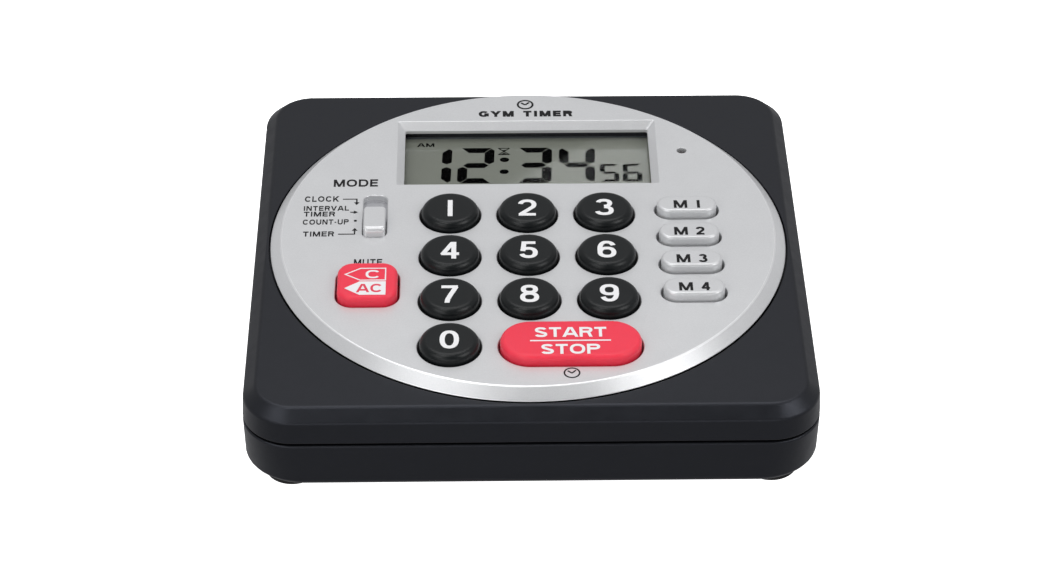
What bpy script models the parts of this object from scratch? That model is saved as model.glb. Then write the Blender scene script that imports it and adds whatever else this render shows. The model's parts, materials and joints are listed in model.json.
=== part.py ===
"""A desk round timer, built as an assembly of separate pieces.

Metres, +Z up, +Y away from the user. The origin is the middle of the case's outline, on the surface that
the feet stand on. Pieces that touch in the real timer keep a small gap here, so that each one is a solid
of its own.
"""

import math

import bmesh
import bpy
from mathutils import Matrix, Vector

GAP = 0.0003

# How finely round shapes are faceted: sides of a full circle, or steps of a quarter circle.
FACE_SIDES = 72
BOSS_SIDES = 12
HOLE_SIDES = 10
FOOT_SIDES = 18
CASE_CORNER_STEPS = 6
KEY_CORNER_STEPS = 5
DOME_CORNER_STEPS = 2

# Case: a square box of two shells, widest at the parting line, with a round recess on top for the face.
CASE_WIDTH = 0.1085
CASE_CORNER = 0.0098
CASE_BOTTOM_Z = 0.0015
FLOOR_Z = 0.0035
PARTING_LOW_Z = 0.01113
PARTING_HIGH_Z = 0.01153
CHAMFER_Z = 0.01633
DECK_Z = 0.0185
CEILING_Z = 0.0162
UPPER_DRAFT = 0.00025
LOWER_DRAFT = 0.0001
BOTTOM_EDGE = 0.0019
BOTTOM_EDGE_STEPS = 3
CHAMFER_INSET = 0.0024
TOP_WALL = 0.0018
LIP_WALL = 0.0008
LIP_TOP_Z = 0.0128
UPPER_BOSS_RADIUS = 0.003
LOWER_BOSS_RADII = (0.0039, 0.0036)
BOARD_POST_RADII = (0.0027, 0.0023)

# Face: a round plate with a bevelled rim.
FACE_CENTRE = (0, 0.00035)
FACE_Z = 0.02042
FACE_UNDER_Z = 0.01772
FACE_RADIUS = 0.0509
FACE_SHOULDER_Z = 0.01847
FACE_TOP_RADIUS = 0.04875
LEDGE_Z = 0.0174
LEDGE_INNER_RADIUS = 0.0484

# Keys: each slides in a hole in the face, and its flange stays below the face.
KEY_GAP = 0.0004
KEY_TOP_Z = 0.02238
MEMORY_KEY_TOP_Z = 0.0222
FLANGE_TOP_Z = 0.0174
FLANGE_BOTTOM_Z = 0.0166
FLANGE_REACH = 0.0007
KEY_EDGE = {"digit": 0.0011, "memory": 0.0006, "start": 0.001, "clear": 0.0009}
DIGIT_HOLE = 0.01224
DIGIT_PITCH_X = 0.0153
DIGIT_PITCH_Y = 0.01414
DIGIT_ORIGIN = (-0.00007, -0.00805)
START_CENTRE = (0.00752, -0.0364)
START_HOLE = (0.0275, 0.0123)
CLEAR_CENTRE = (-0.03125, -0.01765)
CLEAR_HOLE = (0.0124, 0.0125)
CLEAR_CORNER = 0.0035
MEMORY_HOLE = (0.01286, 0.0062)
MEMORY_X = 0.0317
MEMORY_TOP_Y = 0.0073
MEMORY_PITCH = 0.00908

# Display: a window with sloping sides, a lens below it and the glass below that.
WINDOW_CENTRE = (0.00025, 0.02815)
WINDOW_SIZE = (0.0531, 0.0227)
WINDOW_SLOPE = 0.0015
WINDOW_DEPTH = 0.00142
LENS_SIZE = (0.0516, 0.0212)
LENS_Z = (0.0172, 0.01805)
GLASS_SIZE = (0.0524, 0.0227)
GLASS_Z = (0.0151, 0.0158, 0.01665)
GLASS_SHELF = 0.002
HOLDER_Z = (0.01515, 0.0174)
HOLDER_WALL = 0.0008
HOLDER_CORNER = 0.0025
LAMP_CENTRE = (0.03185, 0.02828)
LAMP_HOLE_RADIUS = 0.001
LAMP_BODY = (0.0015, 0.013, 0.0172)
LAMP_TIP = (0.0007, 0.0175, 0.0198)

# Mode switch: a knob in a shallow pan, whose stem forks over the lever of a switch on the board.
PAN_CENTRE = (-0.03035, 0.006)
PAN_SIZE = (0.00475, 0.01414)
PAN_CORNER = 0.0015
PAN_FLOOR_Z = 0.0189
KNOB_SIZE = (0.0040, 0.0076)
KNOB_TOP_Z = 0.0223
KNOB_REST_Y = 0.0029
KNOB_TRAVEL = 0.006
STEM_SIZE = (0.0018, 0.0038)
LEVER_SIZE = (0.0012, 0.0014)

# Circuit board and keypad sheet.
BOARD_Z = (0.0111, 0.0127)
BOARD_SCREWS = ((-0.036, -0.042), (0.036, -0.042), (-0.038, 0.015), (0.038, 0.015))
BOARD_SCREW_RADIUS = 0.0008
MAT_Z = (0.0130, 0.0138)
DOME_TOP_Z = 0.0163

# Underside.
FOOT_SPOTS = {"front_left": (-1, -1), "front_right": (1, -1), "back_left": (-1, 1), "back_right": (1, 1)}
FOOT_CENTRE = (0.0463, 0.0468)
FOOT_RADIUS = 0.0056
FOOT_SEAT_Z = 0.0021
CASE_SCREWS = ((-0.046, -0.033), (0.046, -0.033), (-0.046, 0.033), (0.046, 0.033))
CASE_SCREW_RADIUS = 0.0011
SCREW_HEAD_RADIUS = 0.0024
BOSS_SPLIT_Z = 0.008

# Battery bay: a box moulded in the lower shell, open below and closed by the door.
CELL_RADIUS = 0.0051
CELL_LENGTH = 0.0437
CELL_Y = {"front": 0.0217, "back": 0.0323}
CELL_Z = 0.0081
BAY_Y = 0.027
BAY_INNER = (0.0516, 0.0214)
BAY_WALL = 0.0012
BAY_CEILING_Z = 0.0136
BAY_TOP_Z = 0.0144
DOOR_SIZE = (0.054, 0.0238)
DOOR_TOP_Z = 0.0027
DOOR_SEAT_Z = 0.003
HINGE_Y = BAY_Y + DOOR_SIZE[1] / 2
HOOK_X = 0.017
HOOK_SIZE = (0.006, 0.0015)
HOOK_Z = (0.0023, 0.003)

BUZZER_CENTRE = (-0.026, -0.026)
BUZZER_RADIUS = 0.0098
SOUND_HOLE_RADIUS = 0.0008
SOUND_HOLE_RINGS = ((0, 1), (0.0032, 6))

# Battery contacts: plates at the ends of the bay, with a conical spring behind each cell.
CONTACT_THICK = 0.0004
CONTACT_Z = (0.0042, 0.0124)
CONTACT_WIDTH = 0.0086
BRIDGE_WIDTH = 0.0195
TAB_SIZE = (0.003, 0.003)
TAB_Z = (0.0112, 0.0116)
SPRING_WIRE = 0.0003
SPRING_RADII = (0.0034, 0.0022)
SPRING_TURNS = 4
SPRING_STEPS = 8

FINISHES = {
    "black_case": ((0.024, 0.024, 0.026), 0.50, 0.0),
    "silver_paint": ((0.58, 0.59, 0.60), 0.42, 0.55),
    "black_key": ((0.033, 0.036, 0.040), 0.45, 0.0),
    "red_key": ((0.84, 0.075, 0.115), 0.42, 0.0),
    "silver_key": ((0.50, 0.51, 0.52), 0.45, 0.3),
    "clear_plastic": ((0.70, 0.72, 0.72), 0.05, 0.0),
    "display_glass": ((0.20, 0.215, 0.19), 0.20, 0.0),
    "grey_plastic": ((0.10, 0.10, 0.11), 0.60, 0.0),
    "board_green": ((0.02, 0.16, 0.07), 0.45, 0.0),
    "black_resin": ((0.012, 0.012, 0.012), 0.30, 0.0),
    "silicone": ((0.30, 0.31, 0.32), 0.70, 0.0),
    "black_rubber": ((0.02, 0.02, 0.02), 0.85, 0.0),
    "bright_metal": ((0.62, 0.61, 0.58), 0.28, 1.0),
    "flex_film": ((0.38, 0.20, 0.05), 0.40, 0.0),
    "red_wire": ((0.60, 0.02, 0.02), 0.50, 0.0),
    "black_wire": ((0.015, 0.015, 0.015), 0.50, 0.0),
    "lamp_lens": ((0.35, 0.01, 0.01), 0.20, 0.0),
    "cell_wrap": ((0.10, 0.11, 0.13), 0.35, 0.2),
}


# ---- outlines and solids -------------------------------------------------------------------------------


def rounded_outline(width, depth, corner, steps):
    """Points round a rectangle with round corners, anticlockwise. A corner of half the width is an arc."""
    points = []
    for quarter in range(4):
        sign_x = 1 if quarter in (0, 3) else -1
        sign_y = 1 if quarter in (0, 1) else -1
        centre = Vector((sign_x * (width / 2 - corner), sign_y * (depth / 2 - corner)))
        for step in range(steps + 1):
            angle = math.radians(90) * (quarter + step / steps)
            point = centre + corner * Vector((math.cos(angle), math.sin(angle)))
            if not points or (point - points[-1]).length > 1e-7:
                points.append(point)
    if (points[0] - points[-1]).length < 1e-7:
        points.pop()
    return points


def circle(radius, sides):
    """Points round a circle."""
    return [
        Vector((radius * math.cos(math.tau * i / sides), radius * math.sin(math.tau * i / sides)))
        for i in range(sides)
    ]


def plus_outline(arm, width):
    """The outline of a cross, anticlockwise."""
    half = width / 2
    quadrant = [Vector((arm, -half)), Vector((arm, half)), Vector((half, half))]
    points = []
    for turn in range(4):
        quarter_turn = Matrix.Rotation(math.radians(90) * turn, 2)
        points += [quarter_turn @ p for p in quadrant]
    return points


def at_height(outline, z, centre=(0, 0)):
    """A flat outline lifted to height z."""
    return [Vector((p[0] + centre[0], p[1] + centre[1], z)) for p in outline]


def loft(mesh, rings):
    """Skin a row of rings that have the same number of points, and cap both ends."""
    rows = [[mesh.verts.new(p) for p in ring] for ring in rings]
    count = len(rows[0])
    for low, high in zip(rows, rows[1:]):
        for i in range(count):
            j = (i + 1) % count
            mesh.faces.new((low[i], low[j], high[j], high[i]))
    mesh.faces.new(rows[0][::-1])
    mesh.faces.new(rows[-1])


def prism(mesh, outline, low_z, high_z, centre=(0, 0)):
    """An outline pulled straight up."""
    loft(mesh, [at_height(outline, low_z, centre), at_height(outline, high_z, centre)])


def block(mesh, size, low_z, high_z, centre=(0, 0)):
    """A plain box on a centre."""
    prism(mesh, rectangle(size), low_z, high_z, centre)


def rectangle(size):
    """The four corners of a rectangle, anticlockwise."""
    x, y = size[0] / 2, size[1] / 2
    return [Vector((x, -y)), Vector((x, y)), Vector((-x, y)), Vector((-x, -y))]


def turned(mesh, profile, sides, centre=(0, 0)):
    """A solid of revolution about Z, from pairs of radius and height."""
    loft(mesh, [at_height(circle(radius, sides), z, centre) for radius, z in profile])


def stepped(mesh, size, corner, levels, steps, centre=(0, 0)):
    """A rounded rectangle at several levels, each a pair of inset and height."""
    rings = []
    for inset, z in levels:
        outline = rounded_outline(size[0] - 2 * inset, size[1] - 2 * inset, corner - inset, steps)
        rings.append(at_height(outline, z, centre))
    loft(mesh, rings)


def tube(mesh, path, radius, sides):
    """A round wire along a path, with its section turned as little as possible."""
    side = Vector((0, 0, 1)).cross(path[1] - path[0])
    if side.length < 1e-9:
        side = Vector((1, 0, 0))
    rings = []
    for i, point in enumerate(path):
        ahead = path[min(i + 1, len(path) - 1)] - path[max(i - 1, 0)]
        ahead.normalize()
        side = (side - ahead * side.dot(ahead)).normalized()
        up = ahead.cross(side)
        rings.append([point + side * p.x + up * p.y for p in circle(radius, sides)])
    loft(mesh, rings)


# ---- objects, finishes and joins -----------------------------------------------------------------------


def clear_scene():
    """Start from nothing."""
    for old in list(bpy.data.objects):
        bpy.data.objects.remove(old, do_unlink=True)


def finish_material(name):
    """One shared Principled material for each finish."""
    if name in bpy.data.materials:
        return bpy.data.materials[name]
    colour, roughness, metallic = FINISHES[name]
    material = bpy.data.materials.new(name)
    material.use_nodes = True
    shader = material.node_tree.nodes["Principled BSDF"]
    shader.inputs["Base Color"].default_value = (*colour, 1.0)
    shader.inputs["Roughness"].default_value = roughness
    shader.inputs["Metallic"].default_value = metallic
    material.diffuse_color = (*colour, 1.0)
    return material


def empty(name, location, parent=None):
    """A guide point that pieces hang from."""
    guide = bpy.data.objects.new(name, None)
    guide.location = location
    guide.parent = parent
    bpy.context.scene.collection.objects.link(guide)
    return guide


def piece(name, build, finish, parent, location=(0, 0, 0)):
    """A named object whose mesh is filled by build(mesh)."""
    work = bmesh.new()
    build(work)
    bmesh.ops.recalc_face_normals(work, faces=work.faces)
    data = bpy.data.meshes.new(name)
    work.to_mesh(data)
    work.free()
    data.shade_smooth()
    data.set_sharp_from_angle(angle=math.radians(35))
    data.materials.append(finish_material(finish))
    made = bpy.data.objects.new(name, data)
    made.location = location
    made.parent = parent
    bpy.context.scene.collection.objects.link(made)
    return made


def copy_piece(name, source, parent, location):
    """Another object that shares its mesh and modifiers with source."""
    made = source.copy()
    made.name = name
    made.location = location
    made.parent = parent
    bpy.context.scene.collection.objects.link(made)
    return made


def tool(name, build, parent, location=(0, 0, 0)):
    """A hidden solid that cuts or joins another one."""
    made = piece(name, build, "grey_plastic", parent, location)
    made.hide_render = True
    made.display_type = "WIRE"
    return made


def combine(target, name, build, operation, location=(0, 0, 0)):
    """Cut a hidden solid from target, or join it on. The solid moves with target."""
    helper = tool(name, build, target, location)
    step = target.modifiers.new(name, "BOOLEAN")
    step.operation = operation
    step.solver = "EXACT"
    step.object = helper


def cut(target, name, build):
    """Take a solid away from target."""
    combine(target, name, build, "DIFFERENCE")


def join(target, name, build):
    """Add a solid to target."""
    combine(target, name, build, "UNION")


# ---- case ----------------------------------------------------------------------------------------------


def case_form(mesh, levels):
    """The case's square outline with round corners, at several levels of inset and height."""
    stepped(mesh, (CASE_WIDTH, CASE_WIDTH), CASE_CORNER, levels, CASE_CORNER_STEPS)


def make_top_housing(case):
    """Upper shell: chamfered edge, a stepped round opening for the face, and four screw bosses."""
    levels = (
        (TOP_WALL + 0.0014, CEILING_Z),
        (TOP_WALL, CEILING_Z - 0.0012),
        (TOP_WALL, PARTING_HIGH_Z),
        (0, PARTING_HIGH_Z),
        (UPPER_DRAFT, CHAMFER_Z),
        (UPPER_DRAFT + CHAMFER_INSET, DECK_Z),
    )
    shell = piece("top_housing", lambda m: case_form(m, levels), "black_case", case)

    def bosses(mesh):
        for spot in CASE_SCREWS:
            boss = ((UPPER_BOSS_RADIUS, BOSS_SPLIT_Z + GAP), (UPPER_BOSS_RADIUS, CEILING_Z + 0.0006))
            turned(mesh, boss, BOSS_SIDES, spot)

    def openings(mesh):
        recess = FACE_RADIUS + GAP
        profile = (
            (LEDGE_INNER_RADIUS, CEILING_Z - 0.001),
            (LEDGE_INNER_RADIUS, LEDGE_Z),
            (recess, LEDGE_Z),
            (recess, DECK_Z + 0.001),
        )
        turned(mesh, profile, FACE_SIDES, FACE_CENTRE)
        pilot = CASE_SCREW_RADIUS + GAP
        for spot in CASE_SCREWS:
            turned(mesh, ((pilot, 0.005), (pilot, 0.0145)), HOLE_SIDES, spot)

    join(shell, "top_housing_bosses", bosses)
    cut(shell, "top_housing_openings", openings)


def make_bottom_housing(case):
    """Lower shell: tub with a lip, the battery bay, screw bosses, board posts and sound holes."""
    lip_outer = TOP_WALL + GAP
    levels = [
        (lip_outer + LIP_WALL + 0.0003, FLOOR_Z),
        (lip_outer + LIP_WALL, LIP_TOP_Z),
        (lip_outer, LIP_TOP_Z),
        (lip_outer, PARTING_LOW_Z),
        (0, PARTING_LOW_Z),
    ]
    for step in range(BOTTOM_EDGE_STEPS + 1):
        angle = math.radians(90) * step / BOTTOM_EDGE_STEPS
        inset = LOWER_DRAFT + BOTTOM_EDGE * (1 - math.cos(angle))
        levels.append((inset, CASE_BOTTOM_Z + BOTTOM_EDGE * (1 - math.sin(angle))))
    shell = piece("bottom_housing", lambda m: case_form(m, levels), "black_case", case)
    bay_outer = (BAY_INNER[0] + 2 * BAY_WALL, BAY_INNER[1] + 2 * BAY_WALL)
    sunk = FLOOR_Z - 0.0006

    def raised(mesh):
        block(mesh, bay_outer, sunk, BAY_TOP_Z, (0, BAY_Y))
        for spot in CASE_SCREWS:
            turned(mesh, ((LOWER_BOSS_RADII[0], sunk), (LOWER_BOSS_RADII[1], BOSS_SPLIT_Z)), BOSS_SIDES, spot)
        for spot in BOARD_SCREWS:
            post = ((BOARD_POST_RADII[0], sunk), (BOARD_POST_RADII[1], BOARD_Z[0] - GAP))
            turned(mesh, post, BOSS_SIDES, spot)

    def bay(mesh):
        block(mesh, BAY_INNER, 0.002, BAY_CEILING_Z, (0, BAY_Y))
        for side_x, side_y in FOOT_SPOTS.values():
            spot = (side_x * FOOT_CENTRE[0], side_y * FOOT_CENTRE[1])
            seat = FOOT_RADIUS + GAP
            turned(mesh, ((seat, 0.0005), (seat, FOOT_SEAT_Z)), FOOT_SIDES, spot)
        for spot in CASE_SCREWS:
            clear, seat = CASE_SCREW_RADIUS + GAP, SCREW_HEAD_RADIUS + 0.0004
            turned(mesh, ((seat, 0.0005), (seat, 0.0037), (clear, 0.0037), (clear, 0.009)), BOSS_SIDES, spot)
        pilot = BOARD_SCREW_RADIUS + GAP
        for spot in BOARD_SCREWS:
            turned(mesh, ((pilot, 0.0055), (pilot, 0.012)), HOLE_SIDES, spot)
        for ring, count in SOUND_HOLE_RINGS:
            for i in range(count):
                angle = math.tau * i / count
                hole = (BUZZER_CENTRE[0] + ring * math.cos(angle), BUZZER_CENTRE[1] + ring * math.sin(angle))
                turned(mesh, ((SOUND_HOLE_RADIUS, 0.0005), (SOUND_HOLE_RADIUS, 0.0045)), 8, hole)

    def door_seat(mesh):
        size = (DOOR_SIZE[0] + 2 * GAP, DOOR_SIZE[1] + 2 * GAP)
        block(mesh, size, 0.0005, DOOR_SEAT_Z, (0, BAY_Y))

    def slots(mesh):
        depth = HOOK_SIZE[1] + GAP + 0.0022
        for side in (-1, 1):
            centre = (side * HOOK_X, HINGE_Y + HOOK_SIZE[1] + GAP - depth / 2)
            block(mesh, (HOOK_SIZE[0] + 2 * GAP, depth), 0.002, 0.0041, centre)
        for y in CELL_Y.values():
            block(mesh, (0.004, 0.0038), 0.0109, 0.0119, (BAY_INNER[0] / 2 + 0.0008, y))
        scoop_y = BAY_Y - DOOR_SIZE[1] / 2 - 0.0012
        stepped(mesh, (0.012, 0.0036), 0.0017, ((0, 0.0005), (0, 0.0019), (0.0006, 0.0024)), 4, (0, scoop_y))

    join(shell, "bottom_housing_raised", raised)
    cut(shell, "bottom_housing_bay", bay)
    cut(shell, "bottom_housing_door_seat", door_seat)
    cut(shell, "bottom_housing_slots", slots)


def make_feet(case):
    """Four rubber feet in shallow round seats."""
    top_z = FOOT_SEAT_Z - GAP
    profile = (
        (FOOT_RADIUS - 0.0006, 0),
        (FOOT_RADIUS - 0.0002, 0.00025),
        (FOOT_RADIUS, 0.0009),
        (FOOT_RADIUS, top_z),
    )

    def sole(mesh):
        turned(mesh, profile, FOOT_SIDES)

    first = None
    for name, side in FOOT_SPOTS.items():
        spot = (side[0] * FOOT_CENTRE[0], side[1] * FOOT_CENTRE[1], 0)
        if first is None:
            first = piece("foot_" + name, sole, "black_rubber", case, spot)
        else:
            copy_piece("foot_" + name, first, case, spot)


def make_screws(case, name, spots, radius, head, low_z, seat_z, high_z, heads_up):
    """A set of cross-head screws. The heads sit at seat_z, and point up or down."""

    def body(mesh):
        if heads_up:
            profile = ((radius * 0.6, low_z), (radius, low_z + 0.0006), (radius, seat_z))
            profile += ((head, seat_z), (head, high_z - 0.0003), (head * 0.8, high_z))
        else:
            profile = ((head * 0.8, low_z), (head, low_z + 0.0003), (head, seat_z))
            profile += ((radius, seat_z), (radius, high_z - 0.0006), (radius * 0.6, high_z))
        turned(mesh, profile, BOSS_SIDES)

    def recess(mesh):
        depth = 0.0008
        start = high_z - depth if heads_up else low_z - 0.0005
        prism(mesh, plus_outline(head * 0.55, head * 0.24), start, start + depth + 0.0005)

    first = piece(name + "_1", body, "bright_metal", case, (*spots[0], 0))
    cut(first, name + "_recess", recess)
    for i, spot in enumerate(spots[1:], start=2):
        copy = piece(f"{name}_{i}", body, "bright_metal", case, (*spot, 0))
        cut(copy, f"{name}_recess_{i}", recess)


# ---- face, display and switch --------------------------------------------------------------------------


def key_spots():
    """Name, centre and outline size of every key, with the corner radius of its hole."""
    spots = {}
    for digit in range(1, 10):
        column, row = (digit - 1) % 3 - 1, (digit - 1) // 3 - 1
        centre = (DIGIT_ORIGIN[0] + column * DIGIT_PITCH_X, DIGIT_ORIGIN[1] - row * DIGIT_PITCH_Y)
        spots[f"digit_key_{digit}"] = (centre, (DIGIT_HOLE, DIGIT_HOLE), DIGIT_HOLE / 2)
    zero = (DIGIT_ORIGIN[0] - DIGIT_PITCH_X, DIGIT_ORIGIN[1] - 2 * DIGIT_PITCH_Y)
    spots["digit_key_0"] = (zero, (DIGIT_HOLE, DIGIT_HOLE), DIGIT_HOLE / 2)
    spots["start_stop_key"] = (START_CENTRE, START_HOLE, START_HOLE[1] / 2)
    spots["clear_key"] = (CLEAR_CENTRE, CLEAR_HOLE, CLEAR_CORNER)
    for i in range(4):
        centre = (MEMORY_X, MEMORY_TOP_Y - i * MEMORY_PITCH)
        spots[f"memory_key_{i + 1}"] = (centre, MEMORY_HOLE, MEMORY_HOLE[1] / 2)
    return spots


def make_face_plate(case):
    """Round face with a bevelled rim, key holes, the window, the lens seat and the switch pan."""
    profile = (
        (FACE_RADIUS, FACE_UNDER_Z),
        (FACE_RADIUS, FACE_SHOULDER_Z),
        (FACE_TOP_RADIUS, FACE_Z),
    )
    plate = piece("face_plate", lambda m: turned(m, profile, FACE_SIDES, FACE_CENTRE), "silver_paint", case)
    below, above = FACE_UNDER_Z - 0.001, FACE_Z + 0.001

    def holes(mesh):
        for centre, size, corner in key_spots().values():
            stepped(mesh, size, corner, ((0, below), (0, above)), KEY_CORNER_STEPS, centre)
        turned(mesh, ((LAMP_HOLE_RADIUS, below), (LAMP_HOLE_RADIUS, above)), BOSS_SIDES, LAMP_CENTRE)
        rise = above - FACE_Z
        levels = (
            (WINDOW_SLOPE, below),
            (WINDOW_SLOPE, FACE_Z - WINDOW_DEPTH),
            (-WINDOW_SLOPE * rise / WINDOW_DEPTH, above),
        )
        rings = []
        for inset, z in levels:
            outline = rectangle((WINDOW_SIZE[0] - 2 * inset, WINDOW_SIZE[1] - 2 * inset))
            rings.append(at_height(outline, z, WINDOW_CENTRE))
        loft(mesh, rings)
        stepped(mesh, PAN_SIZE, PAN_CORNER, ((0, PAN_FLOOR_Z), (0, above)), 4, PAN_CENTRE)

    def seats(mesh):
        lens = (LENS_SIZE[0] + 2 * GAP, LENS_SIZE[1] + 2 * GAP)
        block(mesh, lens, below, LENS_Z[1] + GAP, WINDOW_CENTRE)
        stem_slot = (STEM_SIZE[0] + 2 * GAP, STEM_SIZE[1] + KNOB_TRAVEL + 2 * GAP)
        centre = (PAN_CENTRE[0], KNOB_REST_Y + KNOB_TRAVEL / 2)
        block(mesh, stem_slot, below, PAN_FLOOR_Z + 0.0005, centre)

    cut(plate, "face_plate_holes", holes)
    cut(plate, "face_plate_seats", seats)


def make_display(case):
    """Lens, display glass with its contact shelf, holder ring and the ribbon to the board."""
    piece("display_lens", lambda m: block(m, LENS_SIZE, *LENS_Z, WINDOW_CENTRE), "clear_plastic", case)
    half_x, half_y = GLASS_SIZE[0] / 2, GLASS_SIZE[1] / 2
    low, shelf, top = GLASS_Z

    def glass(mesh):
        front, back = WINDOW_CENTRE[1] - half_y, WINDOW_CENTRE[1] + half_y
        section = (
            (front, low), (back, low), (back, top), (front + GLASS_SHELF, top),
            (front + GLASS_SHELF, shelf), (front, shelf),
        )
        rings = []
        for side in (-half_x, half_x):
            rings.append([Vector((WINDOW_CENTRE[0] + side, y, z)) for y, z in section])
        loft(mesh, rings)

    piece("lcd_panel", glass, "display_glass", case)

    inner = (GLASS_SIZE[0] + 2 * GAP, GLASS_SIZE[1] + 2 * GAP)
    outer = (inner[0] + 2 * HOLDER_WALL, inner[1] + 2 * HOLDER_WALL)
    holder = piece(
        "lcd_frame",
        lambda m: stepped(m, outer, HOLDER_CORNER, ((0, HOLDER_Z[0]), (0, HOLDER_Z[1])), 3, WINDOW_CENTRE),
        "grey_plastic",
        case,
    )
    cut(holder, "lcd_frame_opening", lambda m: block(m, inner, 0.014, 0.019, WINDOW_CENTRE))

    def ribbon(mesh):
        bend = ((0.0190, 0.01476), (0.0152, 0.01476), (0.0146, 0.01445), (0.0143, 0.0139))
        bend += ((0.0141, 0.0134), (0.0137, 0.01312), (0.0123, 0.01308))
        half_thick, half_wide = 0.0001, 0.015
        upper, lower = [], []
        for i, (y, z) in enumerate(bend):
            ahead = Vector(bend[min(i + 1, len(bend) - 1)]) - Vector(bend[max(i - 1, 0)])
            ahead.normalize()
            upper.append((y + ahead.y * half_thick, z - ahead.x * half_thick))
            lower.append((y - ahead.y * half_thick, z + ahead.x * half_thick))
        section = upper + lower[::-1]
        loft(mesh, [[Vector((x, y, z)) for y, z in section] for x in (-half_wide, half_wide)])

    piece("lcd_ribbon", ribbon, "flex_film", case)
    body, low_z, high_z = LAMP_BODY
    tip, tip_low_z, tip_high_z = LAMP_TIP
    lamp = (
        (body, low_z), (body, high_z), (tip, tip_low_z), (tip, tip_high_z), (tip * 0.6, tip_high_z + 0.0002),
    )
    piece("alarm_led", lambda m: turned(m, lamp, BOSS_SIDES), "lamp_lens", case, (*LAMP_CENTRE, 0))


def make_mode_switch(case):
    """The switch on the board, and the knob and lever that slide together."""
    middle_y = KNOB_REST_Y + KNOB_TRAVEL / 2
    base = piece(
        "switch_base",
        lambda m: block(m, (0.0046, 0.0125), MAT_Z[0], 0.0156),
        "bright_metal",
        case,
        (PAN_CENTRE[0], middle_y, 0),
    )
    slot = (LEVER_SIZE[0] + 2 * GAP, LEVER_SIZE[1] + KNOB_TRAVEL + 2 * GAP)
    cut(base, "switch_base_slot", lambda m: block(m, slot, 0.0137, 0.0166))

    slide = empty("mode_slide", (PAN_CENTRE[0], KNOB_REST_Y, 0), case)
    levels = (
        (0, PAN_FLOOR_Z + GAP),
        (0, KNOB_TOP_Z - 0.0007),
        (0.00022, KNOB_TOP_Z - 0.00022),
        (0.0007, KNOB_TOP_Z),
    )
    knob = piece("mode_knob", lambda m: stepped(m, KNOB_SIZE, 0.0009, levels, 4), "silver_key", slide)
    join(knob, "mode_knob_stem", lambda m: block(m, STEM_SIZE, 0.0159, 0.0198))
    fork = (0.004, LEVER_SIZE[1] + 2 * GAP)
    cut(knob, "mode_knob_fork", lambda m: block(m, fork, 0.015, 0.0175))
    piece("switch_lever", lambda m: block(m, LEVER_SIZE, 0.014, 0.0172), "black_key", slide)


# ---- keys and board ------------------------------------------------------------------------------------


def make_keys(case):
    """Every key: a cap with a rounded top edge, standing on a flange."""
    for name, (centre, hole, hole_corner) in key_spots().items():
        size = (hole[0] - 2 * KEY_GAP, hole[1] - 2 * KEY_GAP)
        corner = hole_corner - KEY_GAP
        reach = -(KEY_GAP + FLANGE_REACH)
        top_z, edge, finish = KEY_TOP_Z, KEY_EDGE[name.split("_")[0]], "black_key"
        if name.startswith("memory"):
            top_z, finish = MEMORY_KEY_TOP_Z, "silver_key"
        elif not name.startswith("digit"):
            finish = "red_key"
        levels = [(reach, FLANGE_BOTTOM_Z), (reach, FLANGE_TOP_Z), (0, FLANGE_TOP_Z)]
        for angle in (0, 45, 90):
            turn = math.radians(angle)
            levels.append((edge * (1 - math.cos(turn)), top_z - edge * (1 - math.sin(turn))))
        piece(
            name,
            lambda m, s=size, c=corner, rows=levels: stepped(m, s, c, rows, KEY_CORNER_STEPS),
            finish,
            case,
            (*centre, 0),
        )


def make_keypad_mat(case):
    """Silicone sheet under the keys, with a hollow dome for each key."""
    left, right, front, back = -0.0218, 0.0226, -0.0435, 0.0116
    ear_left, ear_right, ear_front, ear_back = -0.0392, 0.0398, -0.0255, -0.0100
    outline = (
        (left, front), (right, front), (right, ear_front), (ear_right, ear_front),
        (ear_right, back), (left, back), (left, ear_back), (ear_left, ear_back),
        (ear_left, ear_front), (left, ear_front),
    )
    mat = piece("keypad_mat", lambda m: prism(m, outline, *MAT_Z), "silicone", case)

    def domes(mesh, inset, low_z, top_z, slope):
        for centre, hole, hole_corner in key_spots().values():
            levels = ((inset, low_z), (inset + slope, top_z))
            stepped(mesh, hole, hole_corner, levels, DOME_CORNER_STEPS, centre)

    join(mat, "keypad_mat_domes", lambda m: domes(m, 0.0008, MAT_Z[0] + 0.0004, DOME_TOP_Z, 0.0010))
    cut(mat, "keypad_mat_hollows", lambda m: domes(m, 0.0015, MAT_Z[0] - 0.0005, 0.0153, 0.0010))


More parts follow.
